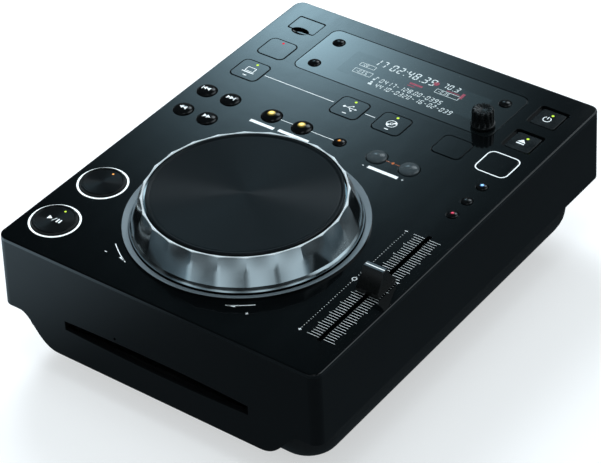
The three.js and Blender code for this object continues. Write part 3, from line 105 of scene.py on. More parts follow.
floor_size = 30.0
floor_white = "#f4f5f5"
floor_grey = "#b0b2b3"
floor_lift = 0.58
front_right = (0.574, -0.819, 0)
front_start, front_full = 0.4, 0.62
patch_middle = (-0.25, -0.26, 0)

bpy.ops.object.select_all(action="DESELECT")
bpy.ops.mesh.primitive_plane_add(size=floor_size)
floor = bpy.context.object
floor.name = "studio_floor"

# Matt pale paper: it scatters light evenly and keeps the player's soft shadow, and the camera sees it nearly white.
# In chrome and gloss it shows only painted light: paler far off to the front right, and a pale patch at the front
# left.
paper, tree, spot = material("white_paper_sweep")
seen, sharp = light_path(tree)
# Painted light that chrome and gloss see on the floor: paler far off to the front right, plus a pale patch at the
# front left
far = measured(tree, "DISTANCE", spot, (0, 0, 0), 0.5, 2.5, 0.0, 0.7)
outward = put(tree, "VectorMath", {0: spot}, operation="NORMALIZE")
side = measured(tree, "DOT_PRODUCT", outward, front_right, front_start, front_full, 0.1, 1.0)
beyond = put(tree, "Math", {0: far, 1: side}, operation="MULTIPLY")
painted_patch_glow = measured(tree, "DISTANCE", spot, patch_middle, 0.03, 0.21, 1.9, 0.12)
level = put(tree, "Math", {0: beyond, 1: painted_patch_glow}, operation="ADD")
lift = put(tree, "Math", {0: seen.outputs["Is Camera Ray"], 1: floor_lift}, operation="MULTIPLY")
matt = put(tree, "BsdfDiffuse", {"Color": shade(floor_grey)})
lifted = put(tree, "Emission", {"Color": shade(floor_white), "Strength": lift})
plain = put(tree, "AddShader", {0: matt, 1: lifted})
painted_floor_in_gloss = put(tree, "Emission", {"Color": shade("#cbe8f8"), "Strength": level})
mixed = put(tree, "MixShader", {0: sharp, 1: plain, 2: painted_floor_in_gloss})
put(tree, "OutputMaterial", {"Surface": mixed})
floor.data.materials.append(paper)

# The surroundings: tall soft panels of light stand in front and to the right, which chrome mirrors in bands. A small
# glow hangs low at the back left, which the gloss panel mirrors, a wide faint one at the back right, one behind that
# draws the wedges on the spun faces, and one high in front for the domes. The camera sees plain white.
glow_towards = Vector((-0.5130, 0.6734, 0.5324)).normalized()
glow_spread = 0.0378
glow_fall = 1.34
glow_strength = 8.2
glow_tint = "#c4edff"
room_tint = "#e6f3fa"
room_level = 0.62
wide_glows = (
    (Vector((0.62, 0.545, 0.567)).normalized(), 38, 1.6), (Vector((-0.209, 0.781, 0.588)).normalized(), 12, 3.2),
    (Vector((0.304, -0.294, 0.906)).normalized(), 15, 1.4),
)
bands = 11
band_turn = math.radians(110)
horizon_low, horizon_top = 0.06, 0.42

world = bpy.data.worlds.new("white_studio")
bpy.context.scene.world = world
tree = blank(world)
seen, sharp = light_path(tree)
towards = put(tree, "TexCoord").outputs["Generated"]

# The small glow fades as exp(-(angle / spread) ** fall); the arc cosine and the power of e take only one number
small_glow = put(tree, "VectorMath", {0: towards, 1: glow_towards}, operation="DOT_PRODUCT").outputs["Value"]
for operation, by in (
    ("MINIMUM", 1.0), ("ARCCOSINE", 0.0), ("DIVIDE", glow_spread), ("POWER", glow_fall), ("MULTIPLY", -1.0),
    ("EXPONENT", 0.0), ("MULTIPLY", glow_strength),
):
    small_glow = put(tree, "Math", {0: small_glow, 1: by}, operation=operation)

height = put(tree, "SeparateXYZ", {0: towards})
low_part = span(height.outputs["Z"], horizon_low, horizon_top, 0.95, 0.05)
horizon = put(tree, "MapRange", low_part, interpolation_type="SMOOTHSTEP")
azimuth = put(tree, "Math", {0: height.outputs["Y"], 1: height.outputs["X"]}, operation="ARCTAN2")
turned_by = put(tree, "Math", {0: azimuth, 1: bands, 2: band_turn}, operation="MULTIPLY_ADD")
wave = put(tree, "Math", {0: turned_by}, operation="COSINE")
banded = put(tree, "MapRange", span(wave, -1.0, 1.0, 0.2, 1.2))
side = measured(tree, "DOT_PRODUCT", towards, front_right, front_start, front_full, 0.14, 1.0)
in_bands = put(tree, "Math", {0: horizon, 1: banded}, operation="MULTIPLY")
level = put(tree, "Math", {0: in_bands, 1: side}, operation="MULTIPLY")
for way, reach, strength in wide_glows:
    glow = measured(tree, "DOT_PRODUCT", towards, way, math.cos(math.radians(reach)), 1.0, 0.0, strength)
    level = put(tree, "Math", {0: level, 1: glow}, operation="ADD")
room = put(tree, "Background", {"Color": shade(room_tint), "Strength": room_level})
mirrored = put(tree, "Background", {"Color": shade(room_tint), "Strength": level})
low_glow = put(tree, "Background", {"Color": shade(glow_tint), "Strength": small_glow})
glossy = put(tree, "AddShader", {0: mirrored, 1: low_glow})
white = put(tree, "Background", {"Color": (1, 1, 1, 1), "Strength": 1.0})
by_gloss = put(tree, "MixShader", {0: sharp, 1: room, 2: glossy})
by_view = put(tree, "MixShader", {0: seen.outputs["Is Camera Ray"], 1: by_gloss, 2: white})
put(tree, "OutputWorld", {"Surface": by_view})

lamps = {
    "lamp_back_left": ((-0.95, 1.05, 1.25), 0.8, 40.0, "#f2f9ff"),
    "lamp_above": ((0.1, -0.1, 1.7), 0.9, 9.0, "#f2f8fc"),
    "lamp_front_left": ((-1.3, -1.0, 0.8), 0.7, 5.0, "#f2f8fc"),
}
for name, (spot_at, width, power, tint) in lamps.items():
    light = bpy.data.lights.new(name, "AREA")
    light.shape = "SQUARE"
    light.size = width
    light.energy = power
    light.color = shade(tint)[:3]
    lamp = bpy.data.objects.new(name, light)
    lamp.location = spot_at
    lamp.rotation_euler = (Vector((0, 0, 0.05)) - Vector(spot_at)).to_track_quat("-Z", "Y").to_euler()
    lamp.visible_glossy = False
    bpy.context.scene.collection.objects.link(lamp)

lens = bpy.data.cameras.new("camera")
lens.sensor_width = 36
lens.lens = 144.38
lens.clip_start = 0.05
lens.clip_end = 60
camera = bpy.data.objects.new("camera", lens)
camera.location = (0.67203, -0.88602, 0.90254)
camera.rotation_euler = (math.radians(52.181), math.radians(2.0702), math.radians(35.9538))
bpy.context.scene.collection.objects.link(camera)
bpy.context.scene.camera = camera
bpy.context.scene.view_settings.view_transform = "Standard"

# Case: one black ABS moulding, four walls that widen a little downwards. The front wall dips to an apron between
# two S curves and holds the disc slot. It comes from the mould with a fine satin grain, and stands on the tub.

panel_low, panel_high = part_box("control_panel")
middle_y = (panel_low.y + panel_high.y) / 2
top = panel_high.z
half_width = 109.25
half_depth = 143.65
wall_slope = 0.022
case_corner = 6


def at(x, y, above=0.0):
    """A place measured in millimetres from the middle of the panel's top face."""
    return Vector((x * mm, middle_y + y * mm, top + above * mm))


def only(piece):
    """Makes a piece the only selected one, and the active one."""
    bpy.ops.object.select_all(action="DESELECT")
    piece.select_set(True)
    bpy.context.view_layer.objects.active = piece


def begin(add, name, **start):
    """Adds a primitive on its own and puts its place into its mesh."""
    bpy.ops.object.select_all(action="DESELECT")
    add(**start)
    piece = bpy.context.object
    piece.name = piece.data.name = name
    bpy.ops.object.transform_apply(location=True, rotation=True, scale=True)
    return piece


def pick(piece, kind, wanted):
    """Opens a piece in edit mode with only the wanted corners, edges or faces selected."""
    if piece.mode != "EDIT":
        only(piece)
        bpy.ops.object.mode_set(mode="EDIT")
    bpy.ops.mesh.select_mode(type=kind)
    bpy.ops.mesh.select_all(action="DESELECT")
    shape = bmesh.from_edit_mesh(piece.data)
    for part in {"VERT": shape.verts, "EDGE": shape.edges, "FACE": shape.faces}[kind]:
        part.select = bool(wanted(part))
    shape.select_flush_mode()
    bmesh.update_edit_mesh(piece.data)


def close(piece, outward=False):
    """Leaves edit mode, once all faces are turned outward where that is asked."""
    if outward:
        bpy.ops.mesh.select_all(action="SELECT")
        bpy.ops.mesh.normals_make_consistent(inside=False)
    bpy.ops.object.mode_set(mode="OBJECT")
    return piece


def bevel(piece, wanted, width, steps):
    """Rounds the edges that a test picks, by millimetres."""
    pick(piece, "EDGE", wanted)
    bpy.ops.mesh.bevel(offset=width * mm, segments=steps, affect="EDGES")
    return close(piece)


def upright(edge):
    a, b = (v.co for v in edge.verts)
    return abs(a.z - b.z) > 10 * max(abs(a.x - b.x), abs(a.y - b.y))


def at_height(above):
    """Whether a place lies at a height in millimetres over the panel's top."""
    return lambda place: abs(place.z - top - above * mm) < 0.01 * mm


def slab(name, x, y, width, depth, bottom, high, corner=0.0, steps=8):
    """A plate with its upright corners rounded, in millimetres from the panel's middle."""
    piece = begin(
        bpy.ops.mesh.primitive_cube_add, name, size=1, location=at(x, y, (bottom + high) / 2),
        scale=(width * mm, depth * mm, (high - bottom) * mm),
    )
    return bevel(piece, upright, corner, steps) if corner else piece


def combine(piece, others, how):
    """Cuts other pieces out of a piece, or joins them to it, and deletes them."""
    for other in others:
        change = piece.modifiers.new("combine", "BOOLEAN")
        change.operation = how
        change.solver = "EXACT"
        change.object = other
        only(piece)
        bpy.ops.object.modifier_apply(modifier=change.name)
        bpy.data.objects.remove(other)
    return piece


def walled(name, inset, bottom, high):
    """The case's outside, or its inside when inset, as one block that widens downwards."""
    halves = half_width - inset, half_depth - inset
    piece = slab(name, 0, 0, 2 * halves[0], 2 * halves[1], bottom, high, case_corner - inset, 10)
    for level, wanted in (
        (bottom, lambda v: v.co.z < top + (bottom + 1) * mm), (high, lambda v: v.co.z > top + (high - 1) * mm),
    ):
        pick(piece, "VERT", wanted)
        grow = [1 - level * wall_slope / half for half in halves]
        bpy.ops.transform.resize(value=(*grow, 1), center_override=at(0, 0, level))
    return close(piece)


def sheet(name, places):
    """A flat outline through the given places, drawn from a filled circle."""
    piece = begin(bpy.ops.mesh.primitive_circle_add, name, vertices=len(places), radius=mm, fill_type="NGON")
    for corner, place in zip(piece.data.vertices, places):
        corner.co = place
    return piece


def thicken(piece, push):
    """Makes flat outlines thick by pushing all their faces one way."""
    pick(piece, "FACE", lambda face: True)
    bpy.ops.mesh.extrude_region_move(TRANSFORM_OT_translate={"value": push})
    return close(piece, outward=True)


def drill(name, x, y, above, radius, sides):
    """A round cutter that lies from front to back."""
    return begin(
        bpy.ops.mesh.primitive_cylinder_add, name, vertices=sides, radius=radius * mm, depth=20 * mm,
        location=at(x, y, above), rotation=(math.radians(90), 0, 0),
    )


def bezier(a, b, c, d, steps):
    """Points along a cubic curve."""
    found = []
    for i in range(steps + 1):
        t = i / steps
        s = 1 - t
        found.append(a * s ** 3 + b * 3 * s * s * t + c * 3 * s * t * t + d * t ** 3)
    return found


panel_thick = 2.6
apron_low = -67.8
apron_high = -48.0
wall = 2.4
front = -150
slot_half = 63.6
slot_z = -44.5

case = walled("case_shell", 0, apron_low, -panel_thick)
cutters = [walled("case_inside", wall, apron_low - 1, 1 - panel_thick)]
for side in (1, -1):
    curve = bezier(
        Vector((98, front, apron_high)), Vector((88.5, front, apron_high)),
        Vector((86, front, apron_low)), Vector((71, front, apron_low)), 24,
    )
    corners = [(130, front, apron_high), *curve, (71, front, apron_low - 3), (130, front, apron_low - 3)]
    cutters.append(thicken(sheet("apron_side", [at(side * x, y, z) for x, y, z in corners]), (0, 310 * mm, 0)))
cutters.append(slab("back_low", 0, 80, 300, 160, apron_low - 2, apron_high))


def slot_lens():
    """The disc slot's outline, a little taller in the middle than at its rounded ends."""
    found = []
    for side in (1, -1):
        for i in range(25):
            across = side * (2 * i / 24 - 1)
            found.append(at(-across * slot_half, front, slot_z + side * (2.9 + 1.7 * (1 - across * across))))
    return found


cutters.append(thicken(sheet("slot_cut", slot_lens()), (0, 20 * mm, 0)))
cutters.append(drill("pinhole", -27.4, -144, -37.3, 0.9, 20))
combine(case, cutters, "DIFFERENCE")

# Rear openings for the two phono jacks, the data socket and the mains inlet
rear_z = -25.0
rear_holes = [drill("jack_hole", x, 143, rear_z, 4.4, 32) for x in (-84.0, -68.0)]
rear_holes.append(slab("data_hole", -44, 143, 12.6, 20, rear_z - 5.75, rear_z + 5.75))
mains_hole = slab("mains_hole", 74, 143, 22.6, 20, rear_z - 6.8, rear_z + 6.8)
bevel(mains_hole, lambda e: abs(e.verts[0].co.y - e.verts[1].co.y) > 10 * mm, 4.3, 6)
combine(case, [*rear_holes, mains_hole], "DIFFERENCE")

sharp_turn = 1.0


def soften(piece, where, width, steps=2):
    """Rounds the sharp edges of a piece that lie where the test says."""
    bevel(piece, lambda e: len(e.link_faces) == 2 and e.calc_face_angle() > sharp_turn and where(
        (e.verts[0].co + e.verts[1].co) / 2,
    ), width, steps)


def smooth(piece, degrees=35):
    """Shades a piece smooth except over its real edges."""
    only(piece)
    bpy.ops.object.shade_smooth_by_angle(angle=math.radians(degrees))
    even = piece.modifiers.new("even", "WEIGHTED_NORMAL")
    even.keep_sharp = True
    even.weight = 100
    bpy.ops.object.modifier_apply(modifier=even.name)
    return piece


# The thin outer edge of the disc slot is rounded by hand in the mould
slot_front = middle_y - (half_depth + 0.5) * mm
soften(case, lambda c: c.y < slot_front and abs(c.z - top - slot_z * mm) < 6 * mm and abs(c.x) < 66 * mm, 0.4)
smooth(case, 30)


def patchy(tree, way, size, detail, rough, reach, levels):
    """A level that wanders between two others, in soft patches of a size in millimetres."""
    noise = put(tree, "TexNoise", {"Vector": way, "Scale": 1 / (size * mm), "Detail": detail, "Roughness": rough})
    return put(tree, "MapRange", span(noise, *reach, *levels))


# Black ABS from a spark-eroded mould: a fine even grain breaks the shine into a soft satin, a little glossier where
# hands have rubbed it
satin_abs, tree, spot = material("satin_abs_grained")
grain = put(tree, "TexNoise", {"Vector": spot, "Scale": 1 / (0.5 * mm), "Detail": 3.0, "Roughness": 0.6})
shine = patchy(tree, spot, 60, 4.0, 0.55, (0.3, 0.7), (0.33, 0.4))
black = put(tree, "Mix", {0: grain, 6: shade("#060809"), 7: shade("#0b0d0f")}, data_type="RGBA").outputs[2]
bumps = put(tree, "Bump", {"Height": grain, "Strength": 0.14, "Distance": 0.05 * mm})
skin = put(tree, "BsdfPrincipled", {
    "Base Color": black, "Roughness": shine, "IOR": 1.5, "Specular IOR Level": 0.25, "Normal": bumps,
})
put(tree, "OutputMaterial", {"Surface": skin})


def dress(piece, body, slot, nodes=(), *finishes):
    """Gives a piece its finishes, its body and the CAD nodes that it stands for. The slot is not used."""
    for finish in finishes:
        piece.data.materials.append(finish)
    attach(piece, body)
    if nodes:
        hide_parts(*nodes)
    return piece


dress(case, "player", "case_satin", ["upper_case"], satin_abs)

# Control panel: one black gloss moulding of 2.6 mm with a thin bevel round its edge. Every opening is moulded in:
# round and square key holes, two sunk key pockets, the window's seat, the stick well and the fader's slot. It is
# clipped into the case and stands on pillars that reach the tub.

round_keys = {
    "cue_button": (-89.7, -74.3, 13.1), "play_button": (-89.7, -116.4, 13.1),
    "track_back_button": (-96.5, 31.7, 6.0), "track_next_button": (-78.9, 31.7, 6.0),
    "search_back_button": (-96.5, 8.7, 6.0), "search_next_button": (-78.9, 8.7, 6.0),
    "loop_in_button": (-48.3, 31.7, 6.2), "loop_out_button": (-26.4, 31.7, 6.2), "loop_exit_button": (0.4, 31.7, 3.8),
    "beat_less_button": (26.8, 31.7, 6.2), "beat_more_button": (49.0, 31.7, 6.2),
    "jog_mode_button": (92.7, 40.5, 3.3), "tempo_range_button": (92.7, 24.6, 3.3), "key_lock_button": (92.7, 9.9, 3.3),
    "menu_button": (-60, 117, 3.7), "time_mode_button": (-60, 91, 3.7), "back_button": (60, 117, 3.7),
}
flat_keys = {
    "stop_key": (-88, 91), "computer_key": (-88, 63.4), "stick_key": (-14.5, 63.4), "disc_key": (15.4, 63.4),
    "list_key": (57.7, 63.4), "lock_key": (88.4, 63.4),
}
pocket_keys = {"power_key": (88.8, 118.4), "eject_key": (88.8, 90.6)}
key_width = 19.4
key_depth = 18.8
key_gap = 0.35
dial_y = -57.0
fader_x = 93.2
fader_y = -66.0
knob_x = 60.8
knob_y = 91.0
cover_x = -88.0
cover_y = 121.9
bite_y = 114.8
window_y = 105.3
below = -4


def bore(x, y, radius, low, high=1.0, sides=48):
    """A round cutter or pin standing at a place on the panel."""
    return begin(
        bpy.ops.mesh.primitive_cylinder_add, "bore", vertices=sides, radius=radius * mm, depth=(high - low) * mm,
        location=at(x, y, (low + high) / 2),
    )


def together(name, pieces):
    """Several meshes as one object."""
    bpy.ops.object.select_all(action="DESELECT")
    for piece in pieces:
        piece.select_set(True)
    bpy.context.view_layer.objects.active = pieces[0]
    if len(pieces) > 1:
        bpy.ops.object.join()
    pieces[0].name = pieces[0].data.name = name
    return pieces[0]


panel = walled("panel_plate", 0, -panel_thick, 0)
bevel(panel, lambda e: all(at_height(0)(v.co) for v in e.verts), 0.9, 3)
combine(panel, [slab("well_bucket", cover_x, cover_y, 19.2, 14.4, -9.5, -1.8)], "UNION")
openings = [bore(x, y, radius + key_gap, below) for x, y, radius in round_keys.values()]
openings += [
    slab("key_hole", x, y, key_width + 2 * key_gap, key_depth + 2 * key_gap, below, 1, 3.95, 8)
    for x, y in flat_keys.values()
]
openings += [slab("pocket", x, y, 19.6, 19.2, -1.7, 1, 2.4, 6) for x, y in pocket_keys.values()]
openings += [
    bore(0, dial_y, 12, below), slab("fader_slot", fader_x, fader_y, 2.7, 105.6, below, 1),
    slab("cover_seat", cover_x, cover_y, 19.6, 14.8, -1.8, 1, 1.4, 4),
]
scoop = begin(
    bpy.ops.mesh.primitive_uv_sphere_add, "scoop", segments=32, ring_count=16, radius=1,
    location=at(cover_x, bite_y, 0), scale=(6.0 * mm, 3.6 * mm, 1.3 * mm),
)
window_seat = slab("window_seat", 0, window_y, 141.3, 47.7, -1.5, 1, 5.6, 8)
combine(panel, [together("openings", openings), window_seat], "DIFFERENCE")
inner = [
    slab("pocket_hole", x, y, 16.3, 17.1, below, 1, 1.6, 4) for x, y in pocket_keys.values()
] + [
    slab("module_hole", 0, window_y, 98.6, 33.6, below, 1), bore(knob_x, knob_y, 3.6, below),
    slab("stick_well", cover_x, cover_y, 16, 11.2, -7.9, 1),
]
combine(panel, [together("inner_openings", inner)], "DIFFERENCE")
combine(panel, [slab("socket_hole", cover_x, cover_y, 13.8, 6.5, -11, 1), scoop], "DIFFERENCE")
soften(panel, at_height(0), 0.22)
pins = [bore(side * 101.2, y, 2.8, -46.7, -2.0, 16) for side in (-1, 1) for y in (101, 49, -95.4)]
pins += [bore(side * 70, y, 2.4, -11.2, -2.0, 16) for side in (-1, 1) for y in (48, -128)]
panel = together("panel_plate", [panel, *pins])
smooth(panel, 30)

# Black polycarbonate from a polished mould: a deep mirror gloss, with the very slight unevenness that all moulded
# gloss has, and faint smears where it is wiped
gloss, tree, spot = material("gloss_black_polycarbonate")
peel = put(tree, "TexNoise", {"Vector": spot, "Scale": 1 / (9 * mm), "Detail": 1.0, "Roughness": 0.4})
wiped = put(tree, "Mapping", {"Vector": spot, "Rotation": (0, 0, 0.6), "Scale": (1.0, 0.22, 1.0)})
shine = patchy(tree, wiped, 14, 5.0, 0.62, (0.35, 0.75), (0.055, 0.1))
bumps = put(tree, "Bump", {"Height": peel, "Strength": 0.06, "Distance": 0.1 * mm})
skin = put(tree, "BsdfPrincipled", {"Base Color": shade("#050708"), "Roughness": shine, "IOR": 1.5, "Normal": bumps})
put(tree, "OutputMaterial", {"Surface": skin})
dress(panel, "player", "panel_gloss", ["control_panel"], gloss)

# Display: a smoked acrylic window lies flush in the panel, printed dark underneath except over the display glass. It
# has holes for three small keys and the knob. The display behind it is a dark glass in a boxed frame.


def turned(name, x, y, profile, sides=64):
    """A turned piece: a circle drawn up its profile of radii and heights. A profile that comes back is a ring."""
    ring = profile[0] == profile[-1]
    radius, height = profile[0]
    piece = begin(
        bpy.ops.mesh.primitive_circle_add, name, vertices=sides, radius=radius * mm, location=at(x, y, height),
        fill_type="NOTHING" if ring else "NGON",
    )
    pick(piece, "EDGE" if ring else "FACE", lambda part: True)
    for wide, high in profile[1:]:
        bpy.ops.mesh.extrude_region_move(TRANSFORM_OT_translate={"value": (0, 0, (high - height) * mm)})
        bpy.ops.transform.resize(value=(wide / radius, wide / radius, 1), center_override=at(x, y, high))
        radius, height = wide, high
    bpy.ops.mesh.select_all(action="SELECT")
    bpy.ops.mesh.remove_doubles(threshold=0.001 * mm)
    return smooth(close(piece, outward=True))


def patch(points):
    """A flat outline in millimetres on the panel."""
    return sheet("patch", [at(*point) for point in points])


def bar(x, y, width, depth, turn=0.0):
    """A flat rectangle, turned by an angle in degrees."""
    c, s = math.cos(math.radians(turn)), math.sin(math.radians(turn))
    corners = [(-width / 2, -depth / 2), (width / 2, -depth / 2), (width / 2, depth / 2), (-width / 2, depth / 2)]
    return patch([(x + c * a - s * b, y + s * a + c * b) for a, b in corners])


def dot(x, y, radius, sides=20):
    turn = [2 * math.pi * i / sides for i in range(sides)]
    return patch([(x + radius * math.cos(a), y + radius * math.sin(a)) for a in turn])


def arc(x, y, radius, width, start, end, steps=24):
    """A curved band between two angles in degrees."""
    turns = [math.radians(start + (end - start) * i / steps) for i in range(steps + 1)]
    outer, inner = (
        [(x + (radius + half) * math.cos(a), y + (radius + half) * math.sin(a)) for a in turns]
        for half in (width / 2, -width / 2)
    )
    return patch(outer + inner[::-1])


def rounded(x, y, width, depth, corner, steps=6):
    """The outline of a rectangle with round corners, as points going round to the left."""
    points = []
    for i, (sx, sy) in enumerate(((1, 1), (-1, 1), (-1, -1), (1, -1))):
        for j in range(steps + 1):
            turn = math.radians(90 * (i + j / steps))
            points.append((
                x + sx * (width / 2 - corner) + corner * math.cos(turn),
                y + sy * (depth / 2 - corner) + corner * math.sin(turn),
            ))
    return points


def frame_line(x, y, width, depth, corner, line):
    """A closed outline of even width, as four-sided pieces side by side."""
    outer = rounded(x, y, width, depth, corner)
    inner = rounded(x, y, width - 2 * line, depth - 2 * line, corner - line)
    count = len(outer)
    return [patch([outer[i], outer[(i + 1) % count], inner[(i + 1) % count], inner[i]]) for i in range(count)]


def print_on(name, shapes, body, slot, finish, x=0.0, y=0.0, above=0.0, thickness=0.04):
    """Flat outlines moved to their place and raised by the thickness of their ink, as one piece."""
    piece = together(name, shapes)
    pick(piece, "VERT", lambda v: True)
    bpy.ops.transform.translate(value=(x * mm, y * mm, above * mm))
    return dress(thicken(piece, (0, 0, thickness * mm)), body, slot, (), finish)


window = slab("window_frame", 0, window_y, 140.6, 47.0, -1.5, 0, 5.4, 8)
holes = [bore(*round_keys[name][:2], 4.05, -3) for name in ("menu_button", "time_mode_button", "back_button")]
combine(window, [together("window_holes", [*holes, bore(knob_x, knob_y, 3.6, -3)])], "DIFFERENCE")
soften(window, at_height(0), 0.18)
smooth(window, 30)

# Smoked acrylic: polished on both faces, so it mirrors the room about twice as strongly as the panel round it
smoked, tree, spot = material("smoked_acrylic_printed_back")
shine = patchy(tree, spot, 20, 5.0, 0.6, (0.35, 0.75), (0.03, 0.07))
skin = put(tree, "BsdfPrincipled", {
    "Base Color": shade("#0c1011"), "Roughness": shine, "IOR": 1.5, "Coat Weight": 0.5,
    "Coat Roughness": 0.06, "Coat IOR": 1.5,
})
put(tree, "OutputMaterial", {"Surface": skin})

dress(window, "player", "window_gloss", ["display_window"], smoked)

module = slab("display_module_box", 0, window_y, 98, 33, -11.2, -1.8)
soften(module, lambda c: c.z > top - 2 * mm, 0.2)
glass = slab("display_area", 3.5, 104.3, 97, 23.6, -0.05, 0.02, 1.2, 3)


def moulded(name, dark, light, grain_size, smoothest, roughest, relief=0.0, deep=0.05, detail=4.0, reach=(0.3, 0.7),
            **more):
    """A moulded, cast or plated surface whose colour and shine both follow its own grain."""
    made, tree, spot = material(name)
    grain = put(tree, "TexNoise", {"Vector": spot, "Scale": 1 / (grain_size * mm), "Detail": detail})
    colour = shade(dark)
    if light != dark:
        colour = put(tree, "Mix", {0: grain, 6: colour, 7: shade(light)}, data_type="RGBA").outputs[2]
    shine = put(tree, "MapRange", span(grain, *reach, smoothest, roughest))
    bumps = put(tree, "Bump", {"Height": grain, "Strength": relief, "Distance": deep * mm})
    skin = put(tree, "BsdfPrincipled", {"Base Color": colour, "Roughness": shine, "Normal": bumps, **more})
    put(tree, "OutputMaterial", {"Surface": skin})
    return made


# Black glass-filled nylon with a dull, slightly mottled moulded face
nylon = moulded("black_nylon_moulded", "#0b0c0d", "#0b0c0d", 0.6, 0.45, 0.65, 0.2, reach=(0, 1), IOR=1.52)
dress(module, "player", "module_black", ["display_module"], nylon)

# Liquid crystal glass seen through the unprinted part of the window: grey-green, with a faint cell grid
cells, tree, spot = material("liquid_crystal_glass")
grid = put(tree, "TexBrick", {
    "Vector": spot, "Scale": 1.0, "Brick Width": 0.8 * mm, "Row Height": 0.9 * mm, "Mortar Size": 0.05 * mm,
    "Color1": shade("#161d1f"), "Color2": shade("#192123"), "Mortar": shade("#0c1112"),
}, offset=0.0)
skin = put(tree, "BsdfPrincipled", {
    "Base Color": grid, "Roughness": 0.1, "IOR": 1.5, "Coat Weight": 0.4, "Coat Roughness": 0.06,
})
put(tree, "OutputMaterial", {"Surface": skin})
dress(glass, "player", "window_gloss", (), cells)


def glow_of(name, body_colour, light_colour, power):
    """A small lit part: it keeps a plastic surface and gives its own light, strongest at its middle."""
    made = bpy.data.materials.new(name)
    tree = blank(made)
    rim = put(tree, "LayerWeight", {"Blend": 0.35})
    core = put(tree, "MapRange", span(rim.outputs["Facing"], 0.0, 0.9, power, power * 0.25))
    skin = put(tree, "BsdfPrincipled", {
        "Base Color": shade(body_colour), "Roughness": 0.25, "IOR": 1.49,
        "Emission Color": shade(light_colour), "Emission Strength": core,
    })
    put(tree, "OutputMaterial", {"Surface": skin})
    return made


# Lit crystal cells behind the glass: cool white figures, and a few warnings in dull red
lit_white = glow_of("lit_cells_white", "#8d999c", "#dfeaec", 0.62)
lit_red = glow_of("lit_cells_red", "#5a2632", "#c0506a", 0.42)
segments = {
    "0": "abcdef", "1": "bc", "2": "abged", "3": "abgcd", "4": "fgbc", "5": "afgcd", "6": "afgedc", "7": "abc",
    "8": "abcdefg", "9": "abcfgd", "-": "g",
}
shown_at = 0.02


def number(text, x, y, high, slant=0.12):
    """A row of seven-segment figures, leaning a little as on most displays."""
    wide = high * 0.5
    thick = high * 0.11
    made = []
    for sign in text:
        if sign in ".:":
            made.append(bar(x + wide * 0.15, y - high / 2 + thick / 2, thick, thick))
            if sign == ":":
                made.append(bar(x + wide * 0.15, y + high * 0.2, thick, thick))
            x += wide * 0.5
            continue
        for part in segments[sign]:
            if part in "agd":
                level = "dga".index(part) - 1
                made.append(bar(x + wide / 2 + slant * level * high / 2, y + level * (high - thick) / 2,
                                wide - 1.6 * thick, thick))
            else:
                side = 1 if part in "bc" else -1
                rise = 1 if part in "bf" else -1
                made.append(bar(
                    x + wide / 2 + side * (wide - thick) / 2 + slant * rise * high / 4, y + rise * high / 4,
                    thick, high / 2 - thick * 1.3, -math.degrees(math.atan(slant)),
                ))
        x += wide * 1.45
    return made


lines = [
    dot(-19.6, 95.9, 0.8), bar(-18.9, 97.5, 0.35, 3.4), bar(-18.2, 98.8, 1.4, 0.6, -20), dot(-19.2, 93.0, 0.8),
    bar(-19.2, 90.9, 2.4, 1.7), *frame_line(-30.5, 105.6, 11.0, 3.6, 0.5, 0.3),
    *frame_line(-29.5, 98.4, 13.0, 4.6, 0.5, 0.3), *frame_line(26.0, 106.4, 16.5, 4.2, 0.5, 0.3),
]
for figures in (
    ("17", -29.5, 112.4, 6.6), ("02:48.39", -17.5, 112.2, 6.8), ("70.3", 19.0, 113.6, 5.0),
    ("0417-128.00-0395", -15.5, 97.0, 4.0), ("4410-0320-16-02-039", -15.5, 91.4, 4.0),
    ("128", -34.5, 105.6, 2.2), ("-03.5", -34.5, 98.4, 2.8), ("-0.35", 19.5, 106.4, 2.6),
):
    lines += number(*figures)
print_on("display_figures", lines, "player", "window_gloss", lit_white, above=shown_at)
print_on("display_warnings", [
    bar(5.0, 104.6, 9.0, 1.8), bar(3.0, 102.0, 5.0, 0.7), dot(14.5, 112.3, 1.9), bar(34.6, 109.4, 2.0, 5.4),
    bar(28.0, 109.6, 9.0, 0.6),
], "player", "window_gloss", lit_red, above=shown_at)

# Round buttons: seventeen turned caps, each with a flange under the panel and a stem over its switch. Cue and play
# are flat spun discs in a lit white ring. The others are gloss domes, some with a lamp under a clear middle.


def round_axis(tree, spot, x, y):
    """The level way out from an upright axis on the panel."""
    centred = put(tree, "VectorMath", {0: spot, 1: at(x, y)}, operation="SUBTRACT")
    return put(tree, "VectorMath", {0: centred, 1: (1, 1, 0)}, operation="MULTIPLY")


def spun(name, x, y, dark, light, roughness, metal=0.0):
    """A face cut on a lathe: fine rings round its centre stretch every highlight into a wedge."""
    made, tree, spot = material(name)
    flat = round_axis(tree, spot, x, y)
    across = put(tree, "VectorMath", {0: flat}, operation="LENGTH").outputs["Value"]
    rings = put(tree, "TexNoise", {"W": across, "Scale": 1 / (0.35 * mm), "Detail": 2.0}, noise_dimensions="1D")
    tone = put(tree, "Mix", {0: rings, 6: shade(dark), 7: shade(light)}, data_type="RGBA").outputs[2]
    skin = put(tree, "BsdfPrincipled", {
        "Base Color": tone, "Roughness": roughness, "Metallic": metal, "IOR": 1.5, "Anisotropic": 0.95,
        "Tangent": flat,
    })
    put(tree, "OutputMaterial", {"Surface": skin})
    return made


# Gloss black ABS for small caps, worn a little by fingertips
cap_black = moulded("gloss_black_abs_cap", "#060708", "#0b0d0e", 5, 0.1, 0.18)
# Dark grey ABS with a satin skin, for the two loop length domes
cap_grey = moulded("satin_grey_abs_dome", "#2f3639", "#3a4245", 1.5, 0.14, 0.2)
# White screen ink of the printed marks: matt, with a faint weave from the screen
ink = moulded("white_screen_ink", "#d4dadb", "#e9eeee", 2, 0.4, 0.55)
